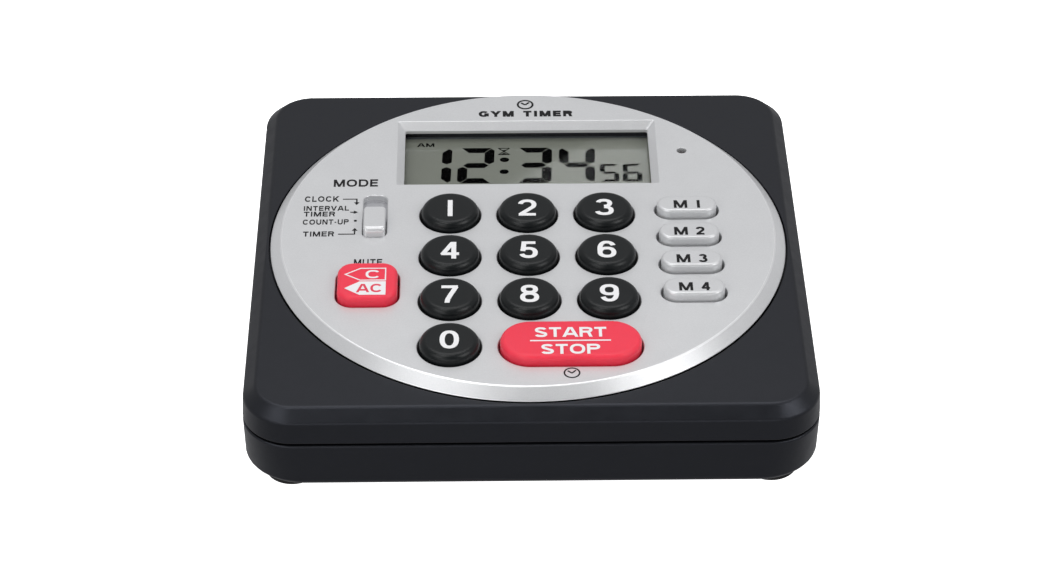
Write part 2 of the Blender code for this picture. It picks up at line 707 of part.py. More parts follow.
def make_board(case):
    """Circuit board with its screws, chip, crystal and sounder."""
    left, right, front = -0.041, 0.041, -0.046
    bay_x, bay_front, ear_back, arm_back = 0.0295, 0.0146, 0.0185, 0.033
    outline = (
        (left, front), (right, front), (right, arm_back), (bay_x, arm_back),
        (bay_x, bay_front), (-bay_x, bay_front), (-bay_x, ear_back), (left, ear_back),
    )
    board = piece("main_board", lambda m: prism(m, outline, *BOARD_Z), "board_green", case)

    def screw_holes(mesh):
        clear = BOARD_SCREW_RADIUS + GAP
        for spot in BOARD_SCREWS:
            turned(mesh, ((clear, 0.010), (clear, 0.014)), HOLE_SIDES, spot)

    cut(board, "main_board_holes", screw_holes)
    make_screws(case, "board_screw", BOARD_SCREWS, BOARD_SCREW_RADIUS, 0.0019, 0.0065, 0.0130, 0.0141, True)

    under = BOARD_Z[0] - GAP
    blob = ((0.0026, under - 0.0017), (0.0045, under - 0.0012), (0.0055, under))
    piece("chip_cover", lambda m: turned(m, blob, 20), "black_resin", case, (0.004, -0.014, 0))

    tin = ((0.001, -0.003), (0.001, 0.003))
    can = piece("crystal_can", lambda m: turned(m, tin, 14), "bright_metal", case)
    can.location = (0.018, -0.008, under - 0.001)
    can.rotation_euler = (0, math.radians(90), 0)

    sounder = piece(
        "buzzer",
        lambda m: turned(m, ((BUZZER_RADIUS, FLOOR_Z + GAP), (BUZZER_RADIUS, 0.0072)), 24),
        "black_resin",
        case,
        (*BUZZER_CENTRE, 0),
    )
    cut(sounder, "buzzer_port", lambda m: turned(m, ((0.002, 0.0005), (0.002, 0.0060)), 14))


def make_wires(case):
    """Leads from the sounder and from the battery contacts to the underside of the board."""
    tab_x = BAY_INNER[0] / 2 + 0.0024
    sounder_x, sounder_y = BUZZER_CENTRE
    routes = (
        ("buzzer_lead_1", "red_wire", (sounder_x + 0.004, sounder_y + 0.002, 0.0080), (0.004, 0.009)),
        ("buzzer_lead_2", "black_wire", (sounder_x + 0.004, sounder_y - 0.002, 0.0080), (0.007, 0.008)),
        ("battery_lead_plus", "red_wire", (tab_x, CELL_Y["front"], 0.0103), (0.006, -0.008)),
        ("battery_lead_minus", "black_wire", (tab_x, CELL_Y["back"], 0.0103), (0.008, -0.003)),
    )
    sag_z, end_z, radius = 0.0090, 0.0102, 0.00045
    for name, finish, start, reach in routes:
        stops = ((0.0, start[2]), (0.3, sag_z), (0.8, sag_z), (1.0, end_z))
        path = [Vector((start[0] + reach[0] * t, start[1] + reach[1] * t, z)) for t, z in stops]
        piece(name, lambda m, line=path: tube(m, line, radius, 6), finish, case)


# ---- battery bay ---------------------------------------------------------------------------------------


def make_cells(case):
    """Two AAA cells side by side, facing opposite ways."""
    nub = 0.0011
    profile = (
        (CELL_RADIUS - 0.0005, -CELL_LENGTH / 2),
        (CELL_RADIUS, -CELL_LENGTH / 2 + 0.0005),
        (CELL_RADIUS, CELL_LENGTH / 2 - nub - 0.0005),
        (CELL_RADIUS - 0.0005, CELL_LENGTH / 2 - nub),
        (0.0019, CELL_LENGTH / 2 - nub),
        (0.0019, CELL_LENGTH / 2),
    )
    for side, name in ((1, "front"), (-1, "back")):
        cell = piece("battery_" + name, lambda m: turned(m, profile, 20), "cell_wrap", case)
        right_end = BAY_INNER[0] / 2 - 0.001
        cell.location = (side * (right_end - CELL_LENGTH / 2), CELL_Y[name], CELL_Z)
        cell.rotation_euler = (0, math.radians(90) * side, 0)


def make_contacts(case):
    """Contact plates at the ends of the bay, and a conical spring behind each cell."""
    end = BAY_INNER[0] / 2
    far = end - GAP
    near = far - CONTACT_THICK
    middle = (near + far) / 2

    def single(mesh):
        block(mesh, (CONTACT_THICK, CONTACT_WIDTH), *CONTACT_Z, (middle, 0))

    def tab(mesh):
        block(mesh, TAB_SIZE, *TAB_Z, (far + TAB_SIZE[0] / 2 - 0.0002, 0))

    for name, side in (("contact_plus", "front"), ("contact_minus", "back")):
        plate = piece(name, single, "bright_metal", case, (0, CELL_Y[side], 0))
        join(plate, name + "_tab", tab)
    piece(
        "contact_bridge",
        lambda m: block(m, (CONTACT_THICK, BRIDGE_WIDTH), *CONTACT_Z, (-middle, BAY_Y)),
        "bright_metal",
        case,
    )

    cell_end = end - 0.001 - CELL_LENGTH
    start, stop = near - GAP - SPRING_WIRE, -cell_end + GAP + SPRING_WIRE
    wide, narrow = SPRING_RADII

    def spring(mesh):
        path = []
        for i in range(SPRING_TURNS * SPRING_STEPS + 1):
            share = i / (SPRING_TURNS * SPRING_STEPS)
            radius = wide + (narrow - wide) * share
            angle = math.tau * i / SPRING_STEPS
            path.append(
                Vector((start + (stop - start) * share, radius * math.cos(angle), radius * math.sin(angle)))
            )
        tube(mesh, path, SPRING_WIRE, 5)

    front = piece("spring_front", spring, "bright_metal", case, (0, CELL_Y["front"], CELL_Z))
    front.rotation_euler = (0, 0, math.radians(180))
    piece("spring_back", spring, "bright_metal", case, (0, CELL_Y["back"], CELL_Z))


def make_battery_door(case):
    """Door in the underside. It swings on two hooks, about its own lower back edge."""
    hinge = empty("door_hinge", (0, HINGE_Y, CASE_BOTTOM_Z), case)
    thick = DOOR_TOP_Z - CASE_BOTTOM_Z
    door = piece(
        "battery_door",
        lambda m: block(m, DOOR_SIZE, 0, thick, (0, -DOOR_SIZE[1] / 2)),
        "black_case",
        hinge,
    )

    def hooks(mesh):
        depth = HOOK_SIZE[1] + 0.0009
        for side in (-1, 1):
            centre = (side * HOOK_X, HOOK_SIZE[1] - depth / 2)
            block(mesh, (HOOK_SIZE[0], depth), HOOK_Z[0] - CASE_BOTTOM_Z, HOOK_Z[1] - CASE_BOTTOM_Z, centre)

    def tongue_slots(mesh):
        front = -DOOR_SIZE[1]
        for side in (-1, 1):
            block(mesh, (0.0008, 0.0064), -0.001, 0.003, (side * 0.0052, front + 0.0027))
        for i in range(3):
            block(mesh, (0.007, 0.0005), -0.001, 0.0004, (0, front + 0.0012 + i * 0.0011))

    join(door, "battery_door_hooks", hooks)
    cut(door, "battery_door_tongue", tongue_slots)


def build_timer():
    """Put the whole timer together."""
    clear_scene()
    case = empty("timer", (0, 0, 0))
    make_top_housing(case)
    make_bottom_housing(case)
    make_feet(case)
    make_screws(
        case, "case_screw", CASE_SCREWS, CASE_SCREW_RADIUS, SCREW_HEAD_RADIUS, 0.0019, 0.0034, 0.0135, False
    )
    make_face_plate(case)
    make_display(case)
    make_mode_switch(case)
    make_keys(case)
    make_keypad_mat(case)
    make_board(case)
    make_wires(case)
    make_cells(case)
    make_contacts(case)
    make_battery_door(case)


build_timer()
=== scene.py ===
"""The finished look of the round timer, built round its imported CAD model.

Lengths here are millimetres, turned into metres when a mesh is made. Positions come from the boxes of the
CAD nodes. +Z is up out of the face, and +Y points away from the user.
"""

import json
import math

import bmesh
import bpy
import numpy as np
from mathutils import Matrix, Vector
from mathutils import geometry


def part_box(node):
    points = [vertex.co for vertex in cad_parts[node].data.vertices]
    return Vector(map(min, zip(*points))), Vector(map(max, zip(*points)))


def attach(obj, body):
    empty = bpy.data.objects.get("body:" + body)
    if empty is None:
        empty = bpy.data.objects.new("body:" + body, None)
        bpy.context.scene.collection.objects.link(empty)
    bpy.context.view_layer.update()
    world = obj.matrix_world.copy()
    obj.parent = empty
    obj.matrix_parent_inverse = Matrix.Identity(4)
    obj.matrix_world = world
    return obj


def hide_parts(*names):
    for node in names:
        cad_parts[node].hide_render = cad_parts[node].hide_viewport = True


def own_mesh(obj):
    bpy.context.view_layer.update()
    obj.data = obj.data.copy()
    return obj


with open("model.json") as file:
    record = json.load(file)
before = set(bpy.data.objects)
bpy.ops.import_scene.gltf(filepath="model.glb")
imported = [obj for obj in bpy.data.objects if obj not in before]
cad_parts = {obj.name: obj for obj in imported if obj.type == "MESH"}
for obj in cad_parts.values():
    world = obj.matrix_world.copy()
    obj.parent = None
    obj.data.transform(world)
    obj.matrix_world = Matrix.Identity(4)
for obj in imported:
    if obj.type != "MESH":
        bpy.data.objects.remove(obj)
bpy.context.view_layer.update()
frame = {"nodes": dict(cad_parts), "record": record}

MM = 0.001
ROUND = 96


# ---- sizes read from the CAD ---------------------------------------------------------------------------


def span(node):
    """Lowest and highest corner of a CAD node, in millimetres."""
    low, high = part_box(node)
    return np.array(low) / MM, np.array(high) / MM


def middle(node):
    """Centre of a CAD node, in millimetres."""
    low, high = span(node)
    return (low + high) / 2


CASE_LOW, CASE_HIGH = span("top_housing")
BASE_LOW, BASE_HIGH = span("bottom_housing")
FACE_LOW, FACE_HIGH = span("face_plate")
LENS_LOW, LENS_HIGH = span("display_lens")
GLASS_LOW, GLASS_HIGH = span("lcd_panel")
KNOB_LOW, KNOB_HIGH = span("mode_knob")
DOOR_LOW, DOOR_HIGH = span("battery_door")
HALF = (CASE_HIGH[0] - CASE_LOW[0]) / 2
DECK_Z = CASE_HIGH[2]
FACE_Z = FACE_HIGH[2]
FACE_CENTRE = middle("face_plate")[:2]
DIGITS = [f"digit_key_{i}" for i in range(10)]
MEMORY = [f"memory_key_{i}" for i in range(1, 5)]
KEYS = DIGITS + MEMORY + ["start_stop_key", "clear_key"]
FLANGE = 1.1
KEY_GAP = 0.4


# ---- outlines ------------------------------------------------------------------------------------------


def arc(centre, radii, start, end, steps):
    """Points along an ellipse, from one angle in degrees to another."""
    turn = np.radians(np.linspace(start, end, steps + 1))
    return np.column_stack((centre[0] + radii[0] * np.cos(turn), centre[1] + radii[1] * np.sin(turn)))


def rounded(width, depth, corner, steps=14):
    """A rectangle with round corners, anticlockwise."""
    corner = min(max(corner, 0.02), width / 2, depth / 2)
    parts = []
    for quarter in range(4):
        x = (1 if quarter in (0, 3) else -1) * (width / 2 - corner)
        y = (1 if quarter in (0, 1) else -1) * (depth / 2 - corner)
        parts.append(arc((x, y), (corner, corner), 90 * quarter, 90 * quarter + 90, steps))
    return np.vstack(parts)


def circle(radius, sides=ROUND):
    """Points round a circle."""
    return arc((0, 0), (radius, radius), 0, 360 * (1 - 1 / sides), sides - 1)


def soften(points, steps=4):
    """A line of (u, v, fillet radius) with its corners rounded."""
    out = []
    last = len(points) - 1
    for i, (u, v, radius) in enumerate(points):
        here = np.array((u, v), float)
        if i in (0, last) or radius <= 0:
            out.append(here)
            continue
        before = np.array(points[i - 1][:2], float) - here
        after = np.array(points[i + 1][:2], float) - here
        long_before, long_after = np.linalg.norm(before), np.linalg.norm(after)
        before, after = before / long_before, after / long_after
        corner = math.acos(max(-1, min(1, float(before @ after))))
        reach = min(radius / math.tan(corner / 2), 0.49 * long_before, 0.49 * long_after)
        radius = reach * math.tan(corner / 2)
        centre = here + (before + after) / np.linalg.norm(before + after) * radius / math.sin(corner / 2)
        first, second = here + before * reach - centre, here + after * reach - centre
        sweep = math.pi - corner
        for k in range(steps + 1):
            share = k / steps
            weight_a = math.sin((1 - share) * sweep) / math.sin(sweep)
            weight_b = math.sin(share * sweep) / math.sin(sweep)
            out.append(centre + first * weight_a + second * weight_b)
    return out


def lift(outline, z, centre=(0, 0)):
    """A flat outline at height z."""
    return np.column_stack((outline[:, 0] + centre[0], outline[:, 1] + centre[1], np.full(len(outline), z)))


# ---- solids: each is (points, faces) -------------------------------------------------------------------


def skin(rings, loop=False):
    """Join a row of rings. A loop closes on itself, and other rows are capped."""
    count, rows = len(rings[0]), len(rings)
    faces = []
    for row in range(rows if loop else rows - 1):
        low, high = row * count, (row + 1) % rows * count
        for i in range(count):
            j = (i + 1) % count
            faces.append((low + i, low + j, high + j, high + i))
    if not loop:
        faces.append(tuple(range(count))[::-1])
        faces.append(tuple(range((rows - 1) * count, rows * count)))
    return np.vstack(rings), faces


def lathe(profile, centre=(0, 0), sides=ROUND, loop=False, steps=4):
    """A solid of revolution about Z, from (radius, z, fillet)."""
    rings = [lift(circle(max(r, 0.0), sides), z, centre) for r, z in soften(profile, steps)]
    return skin(rings, loop)


def stepped(size, corner, levels, centre=(0, 0), steps=14, fillet_steps=4, loop=False):
    """A rounded rectangle at several levels of (inset, z, fillet)."""
    rings = []
    for inset, z in soften(levels, fillet_steps):
        outline = rounded(size[0] - 2 * inset, size[1] - 2 * inset, corner - inset, steps)
        rings.append(lift(outline, z, centre))
    return skin(rings, loop)


def slab(size, low_z, high_z, centre=(0, 0), corner=0.3, edge=0.1, steps=4):
    """A plate with round corners and small round edges."""
    levels = ((edge * 2, low_z, 0), (0, low_z, edge), (0, high_z, edge), (edge * 2, high_z, 0))
    return stepped(size, corner, levels, centre, steps, 3)


def tube(path, radius, sides=12):
    """A round wire along a path."""
    path = np.array(path, float)
    ahead = np.gradient(path, axis=0)
    ahead /= np.linalg.norm(ahead, axis=1)[:, None]
    side = np.cross((0.0, 0.0, 1.0), ahead[0])
    if np.linalg.norm(side) < 1e-6:
        side = np.array((1.0, 0.0, 0.0))
    rings = []
    ring = circle(radius, sides)
    for point, forward in zip(path, ahead):
        side = side - forward * (side @ forward)
        side /= np.linalg.norm(side)
        rings.append(point + np.outer(ring[:, 0], side) + np.outer(ring[:, 1], np.cross(forward, side)))
    return skin(rings)


def turn(solid, matrix):
    """A solid moved by a 4x4 matrix."""
    points = np.column_stack((solid[0], np.ones(len(solid[0])))) @ np.array(matrix).T
    return points[:, :3], solid[1]


# ---- objects -------------------------------------------------------------------------------------------


def build_mesh(name, solids, finishes):
    """One mesh from solids. A solid may carry the number of its finish as a third value."""
    work = bmesh.new()
    for solid in solids:
        finish = solid[2] if len(solid) > 2 else 0
        verts = [work.verts.new(Vector(p) * MM) for p in solid[0]]
        part = []
        for face in solid[1]:
            made = work.faces.new([verts[i] for i in face])
            made.material_index = finish
            part.append(made)
        bmesh.ops.remove_doubles(work, verts=verts, dist=1e-7)
    bmesh.ops.dissolve_degenerate(work, edges=work.edges, dist=1e-8)
    bmesh.ops.recalc_face_normals(work, faces=work.faces)
    mesh = bpy.data.meshes.new(name)
    work.to_mesh(mesh)
    work.free()
    for finish in finishes:
        mesh.materials.append(finish)
    return mesh


def add(name, mesh):
    """A new object in the scene."""
    made = bpy.data.objects.new(name, mesh)
    bpy.context.scene.collection.objects.link(made)
    return made


def finish_piece(made, body, nodes=(), crease=38, weighted=True):
    """Shading, body, and the CAD nodes that a piece stands for."""
    made.data.shade_smooth()
    made.data.set_sharp_from_angle(angle=math.radians(crease))
    if weighted:
        even = made.modifiers.new("even_normals", "WEIGHTED_NORMAL")
        even.keep_sharp = True
        even.weight = 60
    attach(made, body)
    if nodes:
        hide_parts(*nodes)
    return made


def piece(name, solids, finish, body, nodes=(), crease=38):
    """A finished piece from solids."""
    finishes = finish if isinstance(finish, (list, tuple)) else [finish]
    return finish_piece(add(name, build_mesh(name, solids, finishes)), body, nodes, crease)


def carve(target, solids, operation="DIFFERENCE"):
    """Cut solids out of an object that isn't finished yet, or join them on."""
    tool = add("tool", build_mesh("tool", solids, []))
    step = target.modifiers.new("step", "BOOLEAN")
    step.object, step.operation, step.solver = tool, operation, "EXACT"
    bpy.context.view_layer.update()
    graph = bpy.context.evaluated_depsgraph_get()
    result = bpy.data.meshes.new_from_object(target.evaluated_get(graph))
    old = target.data
    target.modifiers.clear()
    target.data = result
    bpy.data.meshes.remove(old)
    bpy.data.objects.remove(tool)


# ---- lettering: letters are strokes of even weight in a box one unit high -----------------------------


def bow(x, y, rx, ry, start, end, steps=22, power=2.3):
    """Part of a rounded-square ellipse, the shape of a bowl in a letter."""
    a = np.radians(np.linspace(start, end, steps + 1))
    c, s = np.cos(a), np.sin(a)
    return np.column_stack(
        (x + rx * np.sign(c) * np.abs(c) ** (2 / power), y + ry * np.sign(s) * np.abs(s) ** (2 / power))
    )


def letter(mark, w):
    """Width of a letter and its strokes, for stroke weight w."""
    a, t = w / 2, 1 - w / 2

    def line(*points):
        return np.array(points, float)

    if mark in "0O":
        wide = 0.76 if mark == "0" else 0.98
        return wide, [bow(wide / 2, 0.5, wide / 2 - a, 0.5 - a, 0, 360, 44)]
    if mark in "1I":
        return w * 1.15, [line((w * 0.575, 0), (w * 0.575, 1))]
    if mark == "2":
        top = bow(0.38, 0.69, 0.38 - a, t - 0.69, 172, -38)
        return 0.76, [np.vstack((top, line((a + 0.03, a + 0.04), (a + 0.01, 0)))), line((0, a), (0.76, a))]
    if mark == "3":
        return 0.76, [
            bow(0.37, 0.74, 0.34 - a, t - 0.74, 165, -90),
            bow(0.37, 0.29, 0.39 - a, 0.29 - a, 90, -168),
        ]
    if mark == "4":
        return 0.80, [line((0.57, 0), (0.57, 1)), line((0.02, 0.29), (0.80, 0.29)), line((0.07, 0.25), (0.55, 1.0))]
    if mark == "5":
        return 0.76, [
            line((0.14, t), (0.70, t)),
            line((0.14 + a * 0.8, 1), (0.06 + a, 0.42)),
            bow(0.38, 0.33, 0.38 - a, 0.33 - a, 152, -164),
        ]
    if mark in "69":
        strokes = [
            bow(0.38, 0.32, 0.38 - a, 0.32 - a, 0, 360, 36),
            np.vstack((line((a, 0.32)), bow(0.39, 0.5, 0.39 - a, 0.5 - a, 178, 30))),
        ]
        return 0.76, [line((0.76, 1)) - s if mark == "9" else s for s in strokes]
    if mark == "7":
        return 0.72, [line((0, t), (0.72, t)), line((0.72 - a, t), (0.45, 0.55), (0.28, 0.2), (0.24, -0.1))]
    if mark == "8":
        return 0.76, [
            bow(0.38, 0.745, 0.34 - a, t - 0.745, 0, 360, 36),
            bow(0.38, 0.29, 0.38 - a, 0.29 - a, 0, 360, 36),
        ]
    if mark == "A":
        return 0.94, [
            line((a * 0.6 - 0.04, -0.1), (0.47 + 0.04 - a * 0.5, 1.1)),
            line((0.94 - a * 0.6 + 0.04, -0.1), (0.47 - 0.04 + a * 0.5, 1.1)),
            line((0.2, 0.29), (0.74, 0.29)),
        ]
    if mark == "C":
        return 0.92, [bow(0.47, 0.5, 0.47 - a, 0.5 - a, 38, 322, 40)]
    if mark == "D":
        side = bow(0.44, 0.5, 0.46 - a, 0.5 - a, 90, -90)
        return 0.90, [line((a, 0), (a, 1)), np.vstack((line((a, t)), side, line((a, a))))]
    if mark == "E":
        return 0.74, [line((a, 0), (a, 1))] + [line((a, y), (x, y)) for x, y in ((0.74, t), (0.70, 0.51), (0.74, a))]
    if mark == "G":
        return 0.94, [
            bow(0.47, 0.5, 0.47 - a, 0.5 - a, 40, 325, 40),
            line((0.52, 0.46), (0.94, 0.46)),
            line((0.94 - a, 0.46), (0.94 - a, 0.08)),
        ]
    if mark == "K":
        return 0.88, [line((a, 0), (a, 1)), line((a, 0.28), (0.86, 1.08)), line((0.36, 0.56), (0.84, -0.08))]
    if mark == "L":
        return 0.68, [line((a, 0), (a, 1)), line((a, a), (0.68, a))]
    if mark == "M":
        return 1.04, [
            line((a, 0), (a, 1)),
            line((1.04 - a, 0), (1.04 - a, 1)),
            line((a * 0.9, 1.1), (0.52 + a * 0.3, -0.05)),
            line((1.04 - a * 0.9, 1.1), (0.52 - a * 0.3, -0.05)),
        ]
    if mark == "N":
        return 0.88, [line((a, 0), (a, 1)), line((0.88 - a, 0), (0.88 - a, 1)), line((a * 0.8, 1.1), (0.88 - a * 0.8, -0.1))]
    if mark in "PR":
        bowl = bow(0.48, 0.71, 0.33 - a * 0.7, t - 0.71, 90, -90)
        low = 1.42 - t
        strokes = [line((a, 0), (a, 1)), np.vstack((line((a, t)), bowl, line((a, low))))]
        if mark == "R":
            strokes.append(line((0.46, low + 0.02), (0.60, low - 0.1), (0.80 - a * 0.5, -0.08)))
        return 0.84, strokes
    if mark == "S":
        top = bow(0.41, 0.725, 0.38 - a, t - 0.725, 18, 252)
        low = bow(0.41, 0.275, 0.41 - a, 0.275 - a, 72, -162)
        return 0.82, [np.vstack((top, low))]
    if mark == "T":
        return 0.78, [line((0, t), (0.78, t)), line((0.39, 0), (0.39, 1))]
    if mark == "U":
        low = bow(0.43, 0.40, 0.43 - a, 0.40 - a, 180, 360)
        return 0.86, [np.vstack((line((a, 1)), low, line((0.86 - a, 1))))]
    if mark == "V":
        return 0.88, [line((a * 0.7 - 0.04, 1.1), (0.47, -0.1)), line((0.88 - a * 0.7 + 0.04, 1.1), (0.41, -0.1))]
    if mark == "Y":
        return 0.88, [line((0.03, 1.1), (0.44, 0.40)), line((0.85, 1.1), (0.44, 0.40)), line((0.44, 0.44), (0.44, 0))]
    if mark == "-":
        return 0.36, [line((0.04, 0.42), (0.32, 0.42))]
    return 0.45, []


def ribbon(points, width, closed=False):
    """Quads along a line, with mitred joints."""
    if closed or np.linalg.norm(points[0] - points[-1]) < 1e-6:
        points = points[:-1] if np.linalg.norm(points[0] - points[-1]) < 1e-6 else points
        along = np.roll(points, -1, 0) - np.roll(points, 1, 0)
        steps = np.roll(points, -1, 0) - points
        closed = True
    else:
        steps = np.diff(points, axis=0)
        units = steps / np.linalg.norm(steps, axis=1)[:, None]
        along = np.vstack((units[:1], units[:-1] + units[1:], units[-1:]))
    along = along / np.linalg.norm(along, axis=1)[:, None]
    normal = np.column_stack((-along[:, 1], along[:, 0]))
    units = steps / np.linalg.norm(steps, axis=1)[:, None]
    nearest = units if closed else np.vstack((units, units[-1:]))
    stretch = np.clip(np.abs((normal * np.column_stack((-nearest[:, 1], nearest[:, 0]))).sum(1)), 0.5, 1)
    offset = normal * (width / 2 / stretch)[:, None]
    left, right = points + offset, points - offset
    count = len(points)
    return [
        np.array((right[i], right[(i + 1) % count], left[(i + 1) % count], left[i]))
        for i in range(count if closed else count - 1)
    ]


def clip(polygon, low, high):
    """The part of a convex polygon between two heights."""
    for limit, sign in ((low, 1), (high, -1)):
        kept = []
        for here, there in zip(polygon, np.roll(polygon, -1, 0)):
            a, b = sign * (here[1] - limit), sign * (there[1] - limit)
            if a >= 0:
                kept.append(here)
            if (a < 0) != (b < 0):
                kept.append(here + (there - here) * a / (a - b))
        if len(kept) < 3:
            return None
        polygon = np.array(kept)
    return polygon


def word(text, x, y, height, weight=0.2, spacing=0.13, x_end=None, stretch=1.25, squeeze=1.0):
    """Polygons of a word whose lower left corner is at (x, y). x_end, if given, is where the word ends.

    A squeeze narrows the letters and keeps the weight of their strokes."""
    shapes, pen = [], 0.0
    for mark in text:
        wide, strokes = letter(mark, weight)
        if squeeze != 1 and wide > 2 * weight:
            share = (wide * squeeze - weight) / (wide - weight)
            strokes = [(stroke - (weight / 2, 0)) * (share, 1) + (weight / 2, 0) for stroke in strokes]
            wide *= squeeze
        for stroke in strokes:
            for quad in ribbon(stroke, weight):
                part = clip(quad, 0.0, 1.0)
                if part is not None:
                    shapes.append(part + (pen, 0))
        pen += wide + spacing
    pen -= spacing
    scale = (height * stretch, height) if x_end is None else ((x_end - x) / pen, height)
    return [s * scale + (x, y) for s in shapes], pen * scale[0]


def centred(text, x, y, height, weight=0.2, spacing=0.13, stretch=1.25, squeeze=1.0):
    """A word centred on (x, y)."""
    shapes, wide = word(text, 0, 0, height, weight, spacing, None, stretch, squeeze)
    return [s + (x - wide / 2, y - height / 2) for s in shapes]


def ink(name, shapes, z, finish, body, thick=0.03):
    """Flat print: overlapping polygons merged into one thin raised film."""
    points, faces = [], []
    for shape in shapes:
        shape = np.array(shape)
        area = np.cross(shape, np.roll(shape, -1, 0)).sum()
        if abs(area) < 1e-7:
            continue
        if area < 0:
            shape = shape[::-1]
        faces.append(list(range(len(points), len(points) + len(shape))))
        points += [Vector(p) for p in shape]
    merged = geometry.delaunay_2d_cdt(points, [], faces, 0, 1e-5)
    verts = merged[0]
    tris = [tri for tri, sources in zip(merged[2], merged[5]) if sources]
    work = bmesh.new()
    top = [work.verts.new((p.x * MM, p.y * MM, (z + thick) * MM)) for p in verts]
    for tri in tris:
        work.faces.new([top[i] for i in tri])
    bmesh.ops.dissolve_limit(work, angle_limit=0.01, verts=work.verts, edges=work.edges)
    grown = bmesh.ops.extrude_face_region(work, geom=work.faces[:] + work.edges[:] + work.verts[:])
    low = [g for g in grown["geom"] if isinstance(g, bmesh.types.BMVert)]
    bmesh.ops.translate(work, verts=low, vec=(0, 0, -(thick + 0.01) * MM))
    bmesh.ops.delete(work, geom=[v for v in work.verts if not v.link_faces], context="VERTS")
    bmesh.ops.recalc_face_normals(work, faces=work.faces)
    mesh = bpy.data.meshes.new(name)
    work.to_mesh(mesh)
    work.free()
    mesh.materials.append(finish)
    made = add(name, mesh)
    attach(made, body)
    return made


# ---- finishes ------------------------------------------------------------------------------------------


class Nodes:
    """Short hand for building a material's nodes."""

    def __init__(self, name):
        self.material = bpy.data.materials.new(name)
        self.material.use_nodes = True
        self.tree = self.material.node_tree
        self.shader = self.tree.nodes["Principled BSDF"]
        self.place = self.node("ShaderNodeTexCoord").outputs["Object"]

    def node(self, kind, **values):
        made = self.tree.nodes.new(kind)
        for key, value in values.items():
            setattr(made, key, value)
        return made

    def link(self, source, target):
        self.tree.links.new(source, target)

    def noise(self, scale, detail=2.0, rough=0.5):
        made = self.node("ShaderNodeTexNoise")
        made.inputs["Scale"].default_value = scale
        made.inputs["Detail"].default_value = detail
        made.inputs["Roughness"].default_value = rough
        self.link(self.place, made.inputs["Vector"])
        return made.outputs["Fac"]

    def ramp(self, value, *stops):
        """Numbers or colours at places along 0 to 1."""
        made = self.node("ShaderNodeValToRGB")
        bands = made.color_ramp.elements
        while len(bands) < len(stops):
            bands.new(0.5)
        for band, (place, colour) in zip(bands, stops):
            band.position = place
            band.color = (*colour, 1) if isinstance(colour, (tuple, list)) else (colour, colour, colour, 1)
        self.link(value, made.inputs["Fac"])
        return made.outputs["Color"]

    def mix(self, share, first, second, kind="MIX"):
        made = self.node("ShaderNodeMix", data_type="RGBA", blend_type=kind)
        for value, socket in ((share, 0), (first, 6), (second, 7)):
            if isinstance(value, bpy.types.NodeSocket):
                self.link(value, made.inputs[socket])
            elif isinstance(value, tuple):
                made.inputs[socket].default_value = (*value, 1)
            else:
                made.inputs[socket].default_value = value
        return made.outputs[2]

    def bump(self, value, strength, distance, under=None):
        made = self.node("ShaderNodeBump")
        made.inputs["Strength"].default_value = strength
        made.inputs["Distance"].default_value = distance
        self.link(value, made.inputs["Height"])
        if under is not None:
            self.link(under, made.inputs["Normal"])
        return made.outputs["Normal"]


def shade(value, share):
    """A colour made lighter or darker."""
    return tuple(min(1.0, c * share) for c in value)


def plastic(name, colour, rough, grain=5200, depth=0.02, mottle=0.08, metal=0.0, specular=0.5, coat=0.0):
    """Moulded or painted surface: fine grain in the relief, and slow changes of tone and gloss."""
    n = Nodes(name)
    slow = n.noise(140, 3)
    fine = n.noise(grain, 2, 0.6)
    base = n.mix(n.ramp(slow, (0.3, 0.0), (0.7, 1.0)), shade(colour, 1 - mottle), shade(colour, 1 + mottle))
    base = n.mix(n.ramp(fine, (0.35, 0.0), (0.65, 1.0)), base, shade(colour, 1 + mottle), "MIX")
    n.link(base, n.shader.inputs["Base Color"])
    gloss = n.ramp(n.noise(420, 3), (0.3, rough * 0.92), (0.7, min(1.0, rough * 1.08)))
    n.link(gloss, n.shader.inputs["Roughness"])
    n.link(n.bump(fine, 0.25, depth * MM), n.shader.inputs["Normal"])
    n.shader.inputs["Metallic"].default_value = metal
    n.shader.inputs["Specular IOR Level"].default_value = specular
    n.shader.inputs["Coat Weight"].default_value = coat
    return n.material


def flake_paint(name, colour, rough, metal, flake=0.10, grain=7000):
    """Silver paint: tiny flakes of slightly different brightness and tilt under a satin surface."""
    n = Nodes(name)
    cells = n.node("ShaderNodeTexVoronoi", feature="F1")
    cells.inputs["Scale"].default_value = grain
    n.link(n.place, cells.inputs["Vector"])
    split = n.node("ShaderNodeSeparateColor")
    n.link(cells.outputs["Color"], split.inputs["Color"])
    tone = n.ramp(split.outputs[0], (0.0, 0.0), (1.0, 1.0))
    base = n.mix(tone, shade(colour, 1 - flake), shade(colour, 1 + flake))
    slow = n.ramp(n.noise(60, 2), (0.3, 0.985), (0.7, 1.015))
    base = n.mix(1.0, base, slow, "MULTIPLY")
    n.link(base, n.shader.inputs["Base Color"])
    n.link(n.ramp(n.noise(300, 3), (0.3, rough * 0.94), (0.7, rough * 1.06)), n.shader.inputs["Roughness"])
    n.link(n.bump(split.outputs[1], 0.06, 0.01 * MM), n.shader.inputs["Normal"])
    n.shader.inputs["Metallic"].default_value = metal
    return n.material


